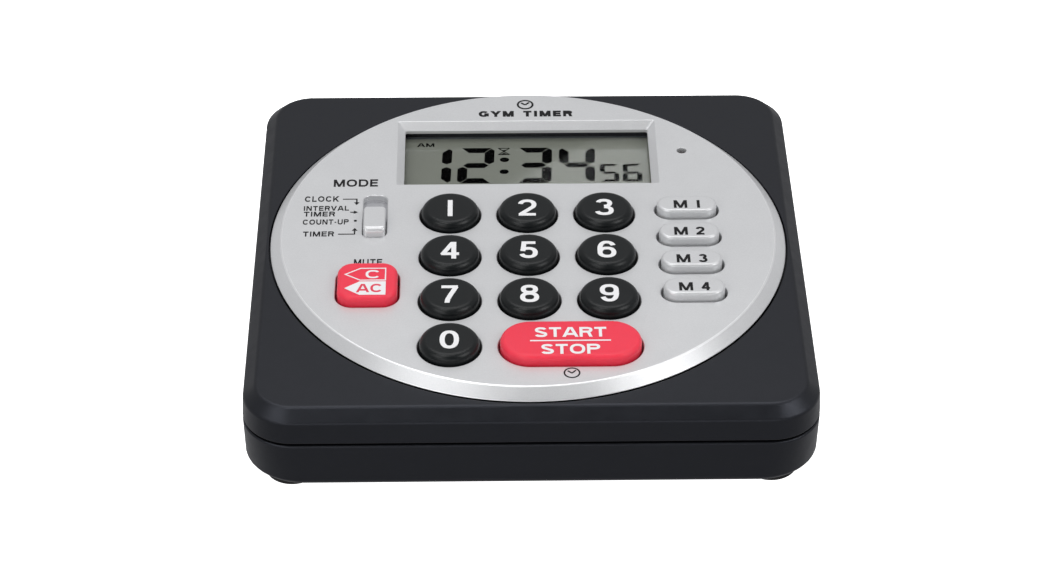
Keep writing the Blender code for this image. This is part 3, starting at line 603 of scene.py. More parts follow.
def metal(name, colour, rough, stretch=(1, 1, 1), scale=900):
    """Plated or drawn metal with faint lines along one direction."""
    n = Nodes(name)
    mapping = n.node("ShaderNodeMapping")
    mapping.inputs["Scale"].default_value = stretch
    n.link(n.place, mapping.inputs["Vector"])
    n.place = mapping.outputs["Vector"]
    lines = n.noise(scale, 4, 0.6)
    n.link(n.mix(lines, shade(colour, 0.85), shade(colour, 1.1)), n.shader.inputs["Base Color"])
    n.link(n.ramp(lines, (0.3, rough * 0.8), (0.7, rough * 1.2)), n.shader.inputs["Roughness"])
    n.link(n.bump(lines, 0.1, 0.01 * MM), n.shader.inputs["Normal"])
    n.shader.inputs["Metallic"].default_value = 1.0
    return n.material


LENS_GLOSS = 0.08


def lens_plastic():
    """Clear window: light goes straight through, with the reflection of a polished surface."""
    n = Nodes("lens_plastic")
    clear = n.node("ShaderNodeBsdfTransparent")
    clear.inputs["Color"].default_value = (0.93, 0.94, 0.94, 1)
    gloss = n.node("ShaderNodeBsdfGlossy")
    n.link(n.ramp(n.noise(300, 2), (0.3, 0.016), (0.7, 0.026)), gloss.inputs["Roughness"])
    edge = n.node("ShaderNodeFresnel")
    edge.inputs["IOR"].default_value = 1.49
    mixer = n.node("ShaderNodeMixShader")
    facing = n.node("ShaderNodeNewGeometry")
    front = n.node("ShaderNodeMath", operation="SUBTRACT")
    front.inputs[0].default_value = 1.0
    n.link(facing.outputs["Backfacing"], front.inputs[1])
    share = n.node("ShaderNodeMath", operation="MULTIPLY")
    n.link(edge.outputs["Fac"], share.inputs[0])
    n.link(front.outputs["Value"], share.inputs[1])
    coated = n.node("ShaderNodeMath", operation="MULTIPLY")
    n.link(share.outputs["Value"], coated.inputs[0])
    coated.inputs[1].default_value = LENS_GLOSS
    n.link(coated.outputs["Value"], mixer.inputs["Fac"])
    n.link(clear.outputs["BSDF"], mixer.inputs[1])
    n.link(gloss.outputs["BSDF"], mixer.inputs[2])
    out = next(x for x in n.tree.nodes if x.type == "OUTPUT_MATERIAL")
    n.link(mixer.outputs["Shader"], out.inputs["Surface"])
    n.shader.inputs["Base Color"].default_value = (0.7, 0.72, 0.72, 1)
    n.shader.inputs["Alpha"].default_value = 0.2
    return n.material


BLACK = plastic("case_black", (0.0040, 0.0043, 0.0052), 0.40, 6500, 0.03, 0.10, specular=0.36)
BLACK.node_tree.nodes["Principled BSDF"].inputs["Specular Tint"].default_value = (0.93, 0.98, 1.15, 1)
SILVER = flake_paint("silver_face_paint", (0.655, 0.662, 0.672), 0.36, 0.40, 0.03)
# Lighter and glossier paint on the rim's edge radii: the lighter colour is a painted highlight along both edges of the
# rim.
RIM_HIGHLIGHT_SILVER = flake_paint("rim_edge_painted_highlight", (0.84, 0.845, 0.855), 0.33, 0.65, 0.02)
# Near-black side of the disc below the deck: the unpainted plate edge, and painted shade for the dark gap round the
# disc.
EDGE_BLACK_AND_SHADE = plastic("plate_edge_black_and_painted_shade", (0.006, 0.006, 0.006), 0.6, 6500, 0.02, 0.1, specular=0.2)
# Darker grey on the floor of the switch pan: painted shade of the recess.
PAN_SHADE_GREY = flake_paint("pan_floor_painted_shade", (0.40, 0.405, 0.425), 0.45, 0.3, 0.05)
KEY_BLACK = plastic("key_black", (0.0040, 0.0054, 0.0060), 0.34, 9000, 0.010, 0.08, specular=0.28)
KEY_RED = plastic("key_red", (0.80, 0.038, 0.074), 0.42, 9000, 0.012, 0.05, specular=0.35)
red_glow = KEY_RED.node_tree.nodes["Principled BSDF"].inputs
red_glow["Subsurface Weight"].default_value = 0.35
red_glow["Subsurface Radius"].default_value = (1.0, 0.25, 0.3)
red_glow["Subsurface Scale"].default_value = 1.5 * MM
KEY_SILVER = flake_paint("silver_key_paint", (0.645, 0.652, 0.662), 0.34, 0.38, 0.03)
LENS = lens_plastic()
INK_WHITE = plastic("ink_white", (0.80, 0.80, 0.81), 0.55, 12000, 0.01, 0.03)
INK_BLACK = plastic("ink_black", (0.006, 0.006, 0.007), 0.55, 12000, 0.01, 0.1, specular=0.2)
INK_RED = plastic("ink_red", (0.70, 0.04, 0.08), 0.5, 12000, 0.01, 0.05)
DISPLAY = plastic("display_grey", (0.220, 0.224, 0.190), 0.04, 14000, 0.0005, 0.03, specular=0.5)
SEGMENT = plastic("display_segment", (0.001, 0.001, 0.001), 0.5, 14000, 0.004, 0.1, specular=0.0)
GLASS_EDGE = plastic("display_edge", (0.15, 0.16, 0.17), 0.12, 8000, 0.002, 0.05)
RUBBER = plastic("foot_rubber", (0.014, 0.014, 0.014), 0.82, 5000, 0.03, 0.12, specular=0.3)
STEEL = metal("plated_steel", (0.62, 0.61, 0.58), 0.26, (1, 1, 0.3))
BRASS = metal("battery_end", (0.66, 0.64, 0.60), 0.30, (1, 1, 1), 1500)
CELL_DARK = plastic("cell_sleeve_dark", (0.012, 0.013, 0.016), 0.25, 9000, 0.003, 0.1, coat=0.3)
CELL_BAND = metal("cell_sleeve_band", (0.55, 0.30, 0.12), 0.32, (1, 4, 4), 700)
GREY_PART = plastic("moulded_grey", (0.05, 0.05, 0.055), 0.6, specular=0.3)
SILICONE = plastic("silicone_grey", (0.30, 0.31, 0.32), 0.66, 4000, 0.02, 0.06)
RESIN = plastic("black_resin", (0.010, 0.010, 0.010), 0.28, 900, 0.02, 0.1)
FLEX = plastic("flex_film", (0.38, 0.20, 0.05), 0.35, 2500, 0.01, 0.12)
BOARD = plastic("board_green", (0.015, 0.13, 0.055), 0.35, 700, 0.02, 0.25)
WIRE_RED = plastic("wire_red", (0.55, 0.02, 0.02), 0.42, 3000, 0.01, 0.06)
WIRE_BLACK = plastic("wire_black", (0.015, 0.015, 0.015), 0.42, 3000, 0.01, 0.06)
LAMP = plastic("lamp_smoke", (0.05, 0.045, 0.046), 0.12, 3000, 0.002, 0.06, coat=0.3)
FLOOR = plastic("floor_pale", (0.97, 0.97, 0.97), 0.9, 300, 0.02, 0.004, specular=0.1)

CAD_FINISHES = {
    "grey_plastic": GREY_PART,
    "flex_film": FLEX,
    "board_green": BOARD,
    "black_resin": RESIN,
    "bright_metal": STEEL,
    "silicone": SILICONE,
    "red_wire": WIRE_RED,
    "black_wire": WIRE_BLACK,
    "cell_wrap": CELL_DARK,
    "lamp_lens": LAMP,
    "black_key": KEY_BLACK,
    "black_case": BLACK,
    "silver_paint": SILVER,
    "clear_plastic": LENS,
    "display_glass": DISPLAY,
    "red_key": KEY_RED,
    "silver_key": KEY_SILVER,
    "black_rubber": RUBBER,
}


def repaint_cad_nodes():
    """Give every CAD node the finish of its slot in the record."""
    slots = {part["node"]: part["material_slot"] for part in frame["record"]["subparts"]}
    for name, node in frame["nodes"].items():
        finish = CAD_FINISHES[slots[name]]
        if node.data.materials:
            for i in range(len(node.data.materials)):
                node.data.materials[i] = finish
        else:
            node.data.materials.append(finish)


# ---- case ----------------------------------------------------------------------------------------------

CORNER = 9.8
WALL = 1.8
DRAFT = 0.25
CHAMFER = 2.4
CHAMFER_Z = 16.33
PARTING = (11.13, 11.53)
RECESS = 51.2
RECESS_CENTRE = FACE_CENTRE - (0, 0.1)
LEDGE_Z = 17.4
LEDGE_RADIUS = 48.4
CEILING_Z = 16.2
SCREW_SPOTS = [tuple(middle(f"case_screw_{i}")[:2]) for i in range(1, 5)]


def square_outline(inset, per_side=64, per_corner=18, fuller=0.0):
    """The case's outline, with extra points along each side so that rings match a circle."""
    half, corner = HALF - inset, CORNER - inset + fuller
    flat = half - corner
    parts = []
    for quarter in range(4):
        x = (1 if quarter in (0, 3) else -1) * flat
        y = (1 if quarter in (0, 1) else -1) * flat
        bend = arc((x, y), (corner, corner), 90 * quarter, 90 * quarter + 90, per_corner)
        next_quarter = (quarter + 1) % 4
        x_next = (1 if next_quarter in (0, 3) else -1) * flat
        y_next = (1 if next_quarter in (0, 1) else -1) * flat
        turn_to = math.radians(90 * quarter + 90)
        start = bend[-1]
        end = np.array((x_next + corner * math.cos(turn_to), y_next + corner * math.sin(turn_to)))
        shares = np.linspace(0, 1, per_side + 1)[1:-1, None]
        parts += [bend, start + (end - start) * shares]
    return np.vstack(parts)


def matching_circle(outline, radius):
    """A circle round the recess, with a point in the direction of each point of the outline."""
    away = outline - RECESS_CENTRE
    return RECESS_CENTRE + away / np.linalg.norm(away, axis=1)[:, None] * radius


def make_top_shell():
    """Upper shell: rounded rim at the parting line, chamfer, deck, and the round recess with its ledge."""
    low_z = PARTING[1]
    side = soften(
        (
            (WALL + 1.4, CEILING_Z, 0),
            (WALL, CEILING_Z - 1.2, 0.3),
            (WALL, low_z, 0.15),
            (0, low_z, 0.5),
            (DRAFT, CHAMFER_Z, 1.0),
            (DRAFT + CHAMFER * 0.7, CHAMFER_Z + (DECK_Z - CHAMFER_Z) * 0.7, 0),
        ),
        6,
    )
    rings = [lift(square_outline(inset), z) for inset, z in side]
    deck = square_outline(DRAFT + CHAMFER)
    rim = matching_circle(deck, RECESS)
    strip = np.clip(np.linalg.norm(deck - rim, axis=1) / 1.0, 0.05, 1)[:, None]
    outward = deck - square_outline(DRAFT + CHAMFER + 0.05)
    outward /= np.linalg.norm(outward, axis=1)[:, None]
    for inset, z in soften(((-1, -0.904, 0), (0, 0, 1.3), (1, 0, 0)), 7)[1:-1]:
        flat = deck - outward * strip * inset
        rings.append(np.column_stack((flat, DECK_Z + strip[:, 0] * z)))
    away = (rim - RECESS_CENTRE) / RECESS
    for out, z in soften(((1, 0, 0), (0, 0, 0.22), (0, -1, 0)), 4)[1:-1]:
        flat = rim + away * strip * out
        rings.append(np.column_stack((flat, DECK_Z + strip[:, 0] * z)))
    inner = ((RECESS, LEDGE_Z), (LEDGE_RADIUS, LEDGE_Z), (LEDGE_RADIUS, CEILING_Z))
    rings += [lift(matching_circle(deck, radius), z) for radius, z in inner]
    boss = ((0, 14.5, 0), (1.4, 14.5, 0), (1.4, 8.3, 0.1), (3.0, 8.3, 0.2), (3.0, 16.6, 0), (0, 16.6, 0))
    solids = [skin(rings, True)] + [lathe(boss, spot, 32) for spot in SCREW_SPOTS]
    piece("top_shell", solids, BLACK, "housing", ["top_housing"], 30)


FLARE = 0.22


def flared(size, corner, low_z, high_z, centre, flare=FLARE, up=True, steps=14, floor_fillet=0.0):
    """A cutter whose opening widens in a small radius, which leaves a rounded edge round the hole.

    It opens upwards at high_z, or downwards at low_z."""
    curve = [(-flare * (1 - math.cos(a)), -flare * (1 - math.sin(a))) for a in np.radians(np.linspace(0, 74, 5))]
    if up:
        levels = [(0.0, low_z)] + [(inset, high_z + dz) for inset, dz in curve]
        levels.append((levels[-1][0], high_z + 1.2))
    else:
        levels = [(0.0, high_z)] + [(inset, low_z - dz) for inset, dz in curve]
        levels.append((levels[-1][0], low_z - 1.2))
    if floor_fillet:
        first = levels[0]
        sign = 1 if up else -1
        arcs = [
            (floor_fillet * (1 - math.cos(a)), first[1] + sign * floor_fillet * (1 - math.sin(a)))
            for a in np.radians(np.linspace(80, 0, 4))
        ]
        levels = arcs + levels[1:]
    rings = []
    for inset, z in levels:
        outline = rounded(size[0] - 2 * inset, size[1] - 2 * inset, corner - inset, steps)
        rings.append(lift(outline, z, centre))
    return skin(rings)


def foot_place(node):
    """Centre and radius of a foot as it looks, a little nearer the middle line than in the CAD."""
    low, high = span(node)
    centre = (low + high)[:2] / 2
    return centre - np.sign(centre) * (1.2, -0.3), (high[0] - low[0]) / 2 - 0.3


def make_bottom_shell():
    """Lower shell: tub with a lip, battery bay, bosses, screw wells, foot seats, sound holes and door seat."""
    bottom = BASE_LOW[2]
    levels = (
        (WALL + 1.4, 3.5, 0),
        (WALL + 1.1, 12.8, 0.15),
        (WALL + 0.3, 12.8, 0.2),
        (WALL + 0.3, PARTING[0], 0.08),
        (0, PARTING[0], 0.4),
        (0.1, bottom, 1.5),
        (4.2, bottom, 0),
    )
    rings = []
    for row, (inset, z) in enumerate(soften(levels, 7)):
        outside = row > 24
        fuller = 2.2 * max(0.0, 1 - (z - bottom) / 5.0) ** 2 if outside else 0.0
        rings.append(lift(square_outline(inset, 8, 18, fuller), z))
    shell = add("bottom_shell", build_mesh("bottom_shell", [skin(rings)], [BLACK]))
    door_x, door_y = 54.0, 23.8
    bay_y = DOOR_HIGH[1] - 1.5 - door_y / 2
    bay_size = (51.6, 21.4)
    joined = [stepped((bay_size[0] + 2.4, bay_size[1] + 2.4), 0.8, ((0, 2.9, 0), (0, 14.4, 0.3), (1, 14.4, 0)), (0, bay_y), 5)]
    joined += [lathe(((3.9, 2.9, 0), (3.6, 8.0, 0.15), (0, 8.0, 0)), spot, 40) for spot in SCREW_SPOTS]
    board_spots = [tuple(middle(f"board_screw_{i}")[:2]) for i in range(1, 5)]
    joined += [lathe(((2.7, 2.9, 0), (2.3, 10.8, 0.15), (0, 10.8, 0)), spot, 32) for spot in board_spots]
    carve(shell, joined, "UNION")
    cuts = [stepped(bay_size, 0.5, ((0, 2.0, 0), (0, 13.6, 0.4), (1, 13.6, 0)), (0, bay_y), 5)]
    cuts += [lathe(((1.1, 5.5, 0), (1.1, 12.0, 0)), spot, 24) for spot in board_spots]
    for node in ("foot_front_left", "foot_front_right", "foot_back_left", "foot_back_right"):
        spot, radius = foot_place(node)
        cuts.append(flared((2 * radius + 0.4, 2 * radius + 0.4), radius + 0.2, bottom, 2.1, spot, 0.12, up=False))
    for spot in SCREW_SPOTS:
        cuts.append(flared((5.6, 5.6), 2.8, bottom, 3.7, spot, up=False))
        cuts.append(lathe(((1.4, 3.0, 0), (1.4, 9.0, 0)), spot, 32))
    sound = middle("buzzer")[:2]
    for ring, count in ((0, 1), (3.2, 6)):
        for i in range(count):
            a = math.tau * i / count
            hole = (sound[0] + ring * math.cos(a), sound[1] + ring * math.sin(a))
            cuts.append(flared((1.6, 1.6), 0.8, bottom, 4.5, hole, 0.15, up=False, steps=6))
    carve(shell, cuts)
    seat = [flared((door_x + 0.6, door_y + 0.6), 0.8, bottom, 3.0, (0, bay_y), up=False, steps=5)]
    carve(shell, seat)
    slots = []
    hinge_y = bay_y + door_y / 2
    for side in (-1, 1):
        depth = 4.0
        slots.append(stepped((6.6, depth), 0.2, ((0, 2.0, 0), (0, 4.1, 0)), (side * 17, hinge_y + 1.8 - depth / 2), 3))
    for y in (middle("battery_front")[1], middle("battery_back")[1]):
        slots.append(stepped((4.0, 3.8), 0.2, ((0, 10.9, 0), (0, 11.9, 0)), (bay_size[0] / 2 + 0.8, y), 3))
    slots.append(flared((12, 3.6), 1.7, bottom, 2.4, (0, bay_y - door_y / 2 - 1.2), 0.3, False, 10, 0.5))
    carve(shell, slots)
    finish_piece(shell, "housing", ["bottom_housing"], 32)


def make_feet():
    """Rubber feet with a rounded edge and a shallow ring in the sole."""
    for node in ("foot_front_left", "foot_front_right", "foot_back_left", "foot_back_right"):
        centre, radius = foot_place(node)
        top = span(node)[1][2]
        profile = (
            (0, 0.12, 0), (2.6, 0.12, 0.1), (2.8, 0.0, 0.1), (radius - 0.6, 0.0, 0.3), (radius - 0.15, 0.35, 0.2),
            (radius, 0.95, 0.3), (radius, top, 0.2), (0, top, 0),
        )
        piece(node + "_rubber", [lathe(profile, centre[:2], 72)], RUBBER, "housing", [node], 40)


def make_screws():
    """Case screws with a domed head and a cross recess."""
    for i, spot in enumerate(SCREW_SPOTS, start=1):
        node = f"case_screw_{i}"
        low, high = span(node)
        head = (high[0] - low[0]) / 2
        profile = ((0, low[2], 0), (head * 0.7, low[2], 0.6), (head, low[2] + 0.6, 0.3), (head, 3.4, 0.15),
                   (1.1, 3.4, 0), (1.1, 12.6, 0), (0.3, high[2], 0.1), (0, high[2], 0))
        screw = add(node + "_steel", build_mesh(node, [lathe(profile, spot, 48)], [STEEL]))
        tilt = Matrix.Translation((*spot, 0)) @ Matrix.Rotation(math.radians(17 + 31 * i), 4, "Z")
        arms = []
        for k in range(2):
            arm = stepped((2.6, 0.62), 0.1, ((0, 1.2, 0), (0.05, low[2] + 0.35, 0), (0.28, low[2] + 1.0, 0)), (0, 0), 3)
            arms.append(turn(arm, tilt @ Matrix.Rotation(math.radians(90 * k), 4, "Z")))
        for arm in arms:
            carve(screw, [arm])
        finish_piece(screw, "housing", [node], 40)


# ---- face ----------------------------------------------------------------------------------------------

WINDOW = (53.1, 22.7)
WINDOW_CENTRE = middle("display_lens")[:2]
WINDOW_SLOPE = 1.5
WINDOW_DEPTH = 1.42
PAN = (4.75, 14.14)
PAN_FLOOR = 18.9
PAN_CENTRE = (middle("switch_base")[0], middle("switch_base")[1] + 0.1)
LAMP_SPOT = tuple(middle("alarm_led")[:2])


def hole_size(node):
    """Outline size and centre of the hole that a key slides in."""
    low, high = span(node)
    size = (high - low)[:2] - 2 * FLANGE + 2 * KEY_GAP
    return size, (low + high)[:2] / 2


def hole_corner(node, size):
    """Corner radius of a key's hole."""
    return 3.5 if node == "clear_key" else min(size) / 2


def make_face():
    """Silver face: bevelled rim, rounded key holes, the sloping window frame, lens seat, lamp hole and pan."""
    under, rim = FACE_LOW[2], (FACE_HIGH - FACE_LOW)[0] / 2
    profile = (
        (0, under, 0),
        (rim - 0.1, under, 0.2),
        (rim, DECK_Z - 0.03, 0.34),
        (48.75, FACE_Z, 0.6),
        (0, FACE_Z, 0),
    )
    rings = [lift(circle(max(r, 0.0), 288), z, FACE_CENTRE) for r, z in soften(profile, 5)]
    plate = add("face_disc", build_mesh("face_disc", [skin(rings)], [SILVER, EDGE_BLACK_AND_SHADE, PAN_SHADE_GREY, RIM_HIGHLIGHT_SILVER]))
    cuts = []
    for node in KEYS:
        size, centre = hole_size(node)
        cuts.append(flared(size, hole_corner(node, size), under - 1, FACE_Z, centre, steps=20))
    cuts.append(flared((2.0, 2.0), 1.0, under - 1, FACE_Z, LAMP_SPOT, 0.12, steps=10))
    carve(plate, cuts)

    # The slope meets the flat face in a small radius.
    corner = soften(((WINDOW_SLOPE, -WINDOW_DEPTH, 0), (0, 0, 0.3), (-2, 0, 0)), 5)[1:-2]
    floor = FACE_Z - WINDOW_DEPTH
    slope = [(WINDOW_SLOPE, under - 1), (WINDOW_SLOPE, floor)] + [(inset, FACE_Z + dz) for inset, dz in corner]
    slope.append((slope[-1][0], FACE_Z + 1.2))
    window = []
    for inset, z in slope:
        outline = rounded(WINDOW[0] - 2 * inset, WINDOW[1] - 2 * inset, 0.42, 5)
        window.append(lift(outline, z, WINDOW_CENTRE))
    pan = flared(PAN, 1.5, PAN_FLOOR, FACE_Z, PAN_CENTRE, 0.3, True, 10, 0.25)
    carve(plate, [skin(window), pan])
    lens_size = (LENS_HIGH - LENS_LOW)[:2] + 0.6
    knob_y = middle("mode_knob")[1]
    stem = stepped((2.4, 10.4), 0.3, ((0, under - 1, 0), (0, PAN_FLOOR + 0.5, 0)), (PAN_CENTRE[0], knob_y + 3.0), 4)
    carve(plate, [stepped(lens_size, 0.3, ((0, under - 1, 0), (0, LENS_HIGH[2] + 0.3, 0)), WINDOW_CENTRE, 4), stem])
    for face in plate.data.polygons:
        x, y, z = np.array(face.center) / MM
        off_pan = np.abs((x, y) - np.array(PAN_CENTRE)) - np.array(PAN) / 2
        reach = math.hypot(x - FACE_CENTRE[0], y - FACE_CENTRE[1])
        # The disc's side below the deck is near black: unpainted plate edge and painted shade of the gap.
        if reach > rim - 0.3 and z < DECK_Z - 0.1:
            face.material_index = 1
        # The rim's edge radii take the lighter paint: painted highlight lines.
        elif reach > rim - 0.34 or (abs(reach - 48.75) < 0.3 and z < FACE_Z - 0.0005):
            face.material_index = 3
        # The pan's floor takes the darker grey: painted shade in the recess.
        elif off_pan.max() < 0 and PAN_FLOOR - 0.05 < z < PAN_FLOOR + 0.3:
            face.material_index = 2
    finish_piece(plate, "housing", ["face_plate"], 32)


def make_display():
    """Lens, and display glass with its grey film."""
    lens = stepped(
        (LENS_HIGH - LENS_LOW)[:2],
        0.4,
        ((0.6, LENS_LOW[2], 0), (0, LENS_LOW[2], 0.08), (0, LENS_HIGH[2], 0.1), (0.6, LENS_HIGH[2], 0)),
        WINDOW_CENTRE,
        5,
        3,
    )
    piece("window_lens", [lens], LENS, "housing", ["display_lens"])
    centre = (GLASS_LOW + GLASS_HIGH)[:2] / 2
    size = (GLASS_HIGH - GLASS_LOW)[:2]
    low, top = GLASS_LOW[2], GLASS_HIGH[2]
    middle_z = (low + top) / 2
    upper = (size[0], size[1] - 2.0)
    upper_centre = (centre[0], centre[1] + 1.0)
    solids = [
        (*slab(size, low, middle_z - 0.02, centre, 0.2, 0.04), 1),
        (*slab(upper, middle_z, top - 0.14, upper_centre, 0.2, 0.04), 1),
        (*slab((upper[0] - 0.6, upper[1] - 1.3), top - 0.13, top, (centre[0], centre[1] + 0.65), 0.2, 0.03), 0),
    ]
    piece("display_cell", solids, [DISPLAY, GLASS_EDGE], "housing", ["lcd_panel"])
    return top


def segment_digit(mark, x, y, width, height, across, along):
    """The lit bars of a seven-bar figure: upright bars are across wide, and level bars are along high."""
    lit = {"1": "bc", "2": "abged", "3": "abgcd", "4": "fgbc", "5": "afgcd", "6": "afgedc", "0": "abcdef",
           "7": "abc", "8": "abcdefg", "9": "abcdfg"}[mark]
    gap = 0.045 * height / 2
    half = height / 2
    tip = along / 2
    shapes = []
    for name in lit:
        if name in "bcef":
            left = 0.0 if name in "ef" else width - across
            base = half if name in "bf" else 0.0
            inner = 1 if name in "ef" else -1
            low = base + gap + (tip if base else 0)
            high = base + half - gap - (0 if base else tip)
            outer_x = left if inner > 0 else left + across
            inner_x = left + across if inner > 0 else left
            mid_x = left + across / 2
            if base:
                bar = [(outer_x, low), (mid_x, low - tip * 0.75), (inner_x, low), (inner_x, high - along * 0.8),
                       (outer_x + inner * across * 0.35, high), (outer_x, high - along * 0.35)]
            else:
                bar = [(outer_x, high), (mid_x, high + tip * 0.75), (inner_x, high), (inner_x, low + along * 0.8),
                       (outer_x + inner * across * 0.35, low), (outer_x, low + along * 0.35)]
        elif name == "g":
            inset = across * 0.42 + gap
            bar = [(inset, half), (inset + tip, half + tip), (width - inset - tip, half + tip),
                   (width - inset, half), (width - inset - tip, half - tip), (inset + tip, half - tip)]
        else:
            level, inner = (height, -1) if name == "a" else (0.0, 1)
            start, stop = across * 0.2 + gap, width - across * 0.2 - gap
            run = across * 0.75
            bar = [(start, level), (stop, level), (stop - run, level + inner * along), (start + run, level + inner * along)]
        lean = 0.03
        shapes.append(np.array([(x + px + lean * py, y + py) for px, py in bar]))
    return shapes


def make_segments(top):
    """The time on the display, with AM, the hourglass and the colon."""
    x0, y0 = WINDOW_CENTRE
    shapes = []
    for mark, x in (("1", -23.14), ("2", -14.42), ("3", -2.54), ("4", 6.33)):
        shapes += segment_digit(mark, x0 + x, y0 - 5.68, 7.43, 12.6, 2.0, 1.75)
    for mark, x in (("5", 14.75), ("6", 19.45)):
        shapes += segment_digit(mark, x0 + x, y0 - 5.4, 4.0, 6.25, 1.05, 0.75)
    for x, y in ((-4.62, 2.65), (-4.72, -1.65)):
        shapes.append(bow(x0 + x, y0 + y, 0.95, 0.8, 0, 345, 23, 2))
    shapes += word("AM", x0 - 22.6, y0 + 7.5, 1.3, 0.2, 0.16, x0 - 19.1)[0]
    glass_x, glass_y, wide, tall, thin = x0 - 4.7, y0 + 5.65, 1.15, 1.15, 0.22
    frame_line = [(-wide, tall), (wide, tall), (-wide, -tall), (wide, -tall), (-wide, tall)]
    line = np.array(frame_line) + (glass_x, glass_y)
    for start, end in zip(line, line[1:]):
        shapes += ribbon(np.array((start, end)), thin)
    shapes.append(np.array(((glass_x - 0.7, glass_y - tall), (glass_x + 0.7, glass_y - tall), (glass_x, glass_y - 0.45))))
    shapes.append(np.array(((glass_x - 0.4, glass_y + 0.5), (glass_x, glass_y), (glass_x + 0.4, glass_y + 0.5))))
    ink("display_time", shapes, top, SEGMENT, "housing", 0.02)


def make_face_print():
    """Black marks on the face: the mode list with its leaders, MUTE, a plain word and the clock sign."""
    shapes = []
    shapes += word("MODE", -38.9, 16.2, 2.5, 0.2, 0.16, -30.0)[0]
    labels = (
        ("CLOCK", -44.5, 11.05, 1.85, -37.7),
        ("INTERVAL", -44.6, 7.95, 1.6, -35.6),
        ("TIMER", -44.5, 6.0, 1.6, -38.3),
        ("COUNT-UP", -44.6, 3.25, 1.7, -35.5),
        ("TIMER", -44.4, -0.75, 1.65, -38.3),
        ("MUTE", -34.1, -10.4, 2.0, -28.6),
    )
    for text, x, y, high, end in labels:
        shapes += word(text, x, y, high, 0.2, 0.2, end)[0]
    shapes += word("GYM TIMER", -9.6, 41.05, 2.1, 0.28, 0.22, 9.8)[0]
    thin = 0.28
    for line in (
        ((-36.9, 11.85), (-34.1, 11.85), (-34.1, 10.6)),
        ((-35.3, 7.35), (-34.4, 7.35)),
        ((-37.5, -0.05), (-34.25, -0.05), (-34.25, 1.2)),
    ):
        shapes += ribbon(np.array(line, float), thin)
    head = 0.55
    shapes.append(np.array(((-34.1 - head, 10.75), (-34.1 + head, 10.75), (-34.1, 9.85))))
    shapes.append(np.array(((-34.6, 7.35 - head), (-34.6, 7.35 + head), (-33.75, 7.35))))
    shapes.append(np.array(((-34.25 - head, 1.1), (-34.25 + head, 1.1), (-34.25, 2.0))))
    shapes.append(arc((-34.2, 4.44), (0.32, 0.32), 0, 345, 23))
    for clock, radius, stroke in (((7.5, -44.5), 1.42, 0.3), ((0.1, 45.5), 1.55, 0.42)):
        shapes += ribbon(arc(clock, (radius, radius), 0, 360, 40), stroke)
        for tip in ((-0.55, 0.42), (0.52, 0.52)):
            hand = np.array(((clock[0], clock[1] - 0.1), (clock[0] + tip[0] * radius, clock[1] + tip[1] * radius)))
            shapes += ribbon(hand, stroke)
    ink("face_print", shapes, FACE_Z, INK_BLACK, "housing")


def radius_inset(z, top, radius):
    """How far in a side has come at height z, when it turns into the top with a radius."""
    rise = max(0.0, z - (top - radius))
    return radius - math.sqrt(max(0.0, radius**2 - rise**2))


def make_knob():
    """Slide knob with a round front edge, a stem that passes the face, and the lever it forks over."""
    low, high = KNOB_LOW, KNOB_HIGH
    centre = ((low + high) / 2)[:2]
    size = (4.35, (high - low)[1] + 0.12)
    centre[1] -= 0.06
    top = high[2]
    rings = []
    for z in [PAN_FLOOR + 0.3, *(top - 1.15 * (1 - np.sin(np.radians(np.linspace(0, 90, 11)))))]:
        side, front, back = (radius_inset(z, top, radius) for radius in (0.32, 1.15, 0.18))
        outline = rounded(size[0] - 2 * side, size[1] - front - back, 0.75 - side, 8)
        rings.append(lift(outline, z, (centre[0], centre[1] + (front - back) / 2)))
    cap = skin(rings)
    knob = add("mode_knob_cap", build_mesh("mode_knob_cap", [cap], [KEY_SILVER]))
    carve(knob, [slab((1.8, 3.8), 15.9, 19.8, centre, 0.3, 0.1)], "UNION")
    carve(knob, [slab((4.0, 2.0), 14.5, 17.5, centre, 0.1, 0.02)])
    finish_piece(knob, "mode_slider", ["mode_knob"], 35)
    lever_low, lever_high = span("switch_lever")
    lever = slab((lever_high - lever_low)[:2], lever_low[2], lever_high[2], middle("switch_lever")[:2], 0.2, 0.12)
    piece("switch_lever_arm", [lever], KEY_BLACK, "mode_slider", ["switch_lever"])


# ---- keys ----------------------------------------------------------------------------------------------

INK_LIFT = 0.03


def key_cap(node, edge, slim=0.0):
    """A key: flange below, straight side, and a large round edge round a flat top."""
    low, high = span(node)
    size = (high - low)[:2] - 2 * FLANGE - (2 * slim, 0)
    centre = (low + high)[:2] / 2
    corner = hole_corner(node, size + 2 * KEY_GAP) - KEY_GAP
    top, bottom = high[2], low[2]
    levels = (
        (-0.4, bottom, 0),
        (-FLANGE, bottom, 0.15),
        (-FLANGE, bottom + 0.8, 0.15),
        (0, bottom + 0.8, 0.12),
        (0, top, edge),
        (edge * 2.05, top, 0),
    )
    return stepped(size, corner, levels, centre, 24, 9)


def arrow_outline(tip, shoulder, right, low, high):
    """A flag that points left."""
    middle_y = (low + high) / 2
    return np.array(((tip, middle_y), (shoulder, low), (right, low), (right, high), (shoulder, high)))


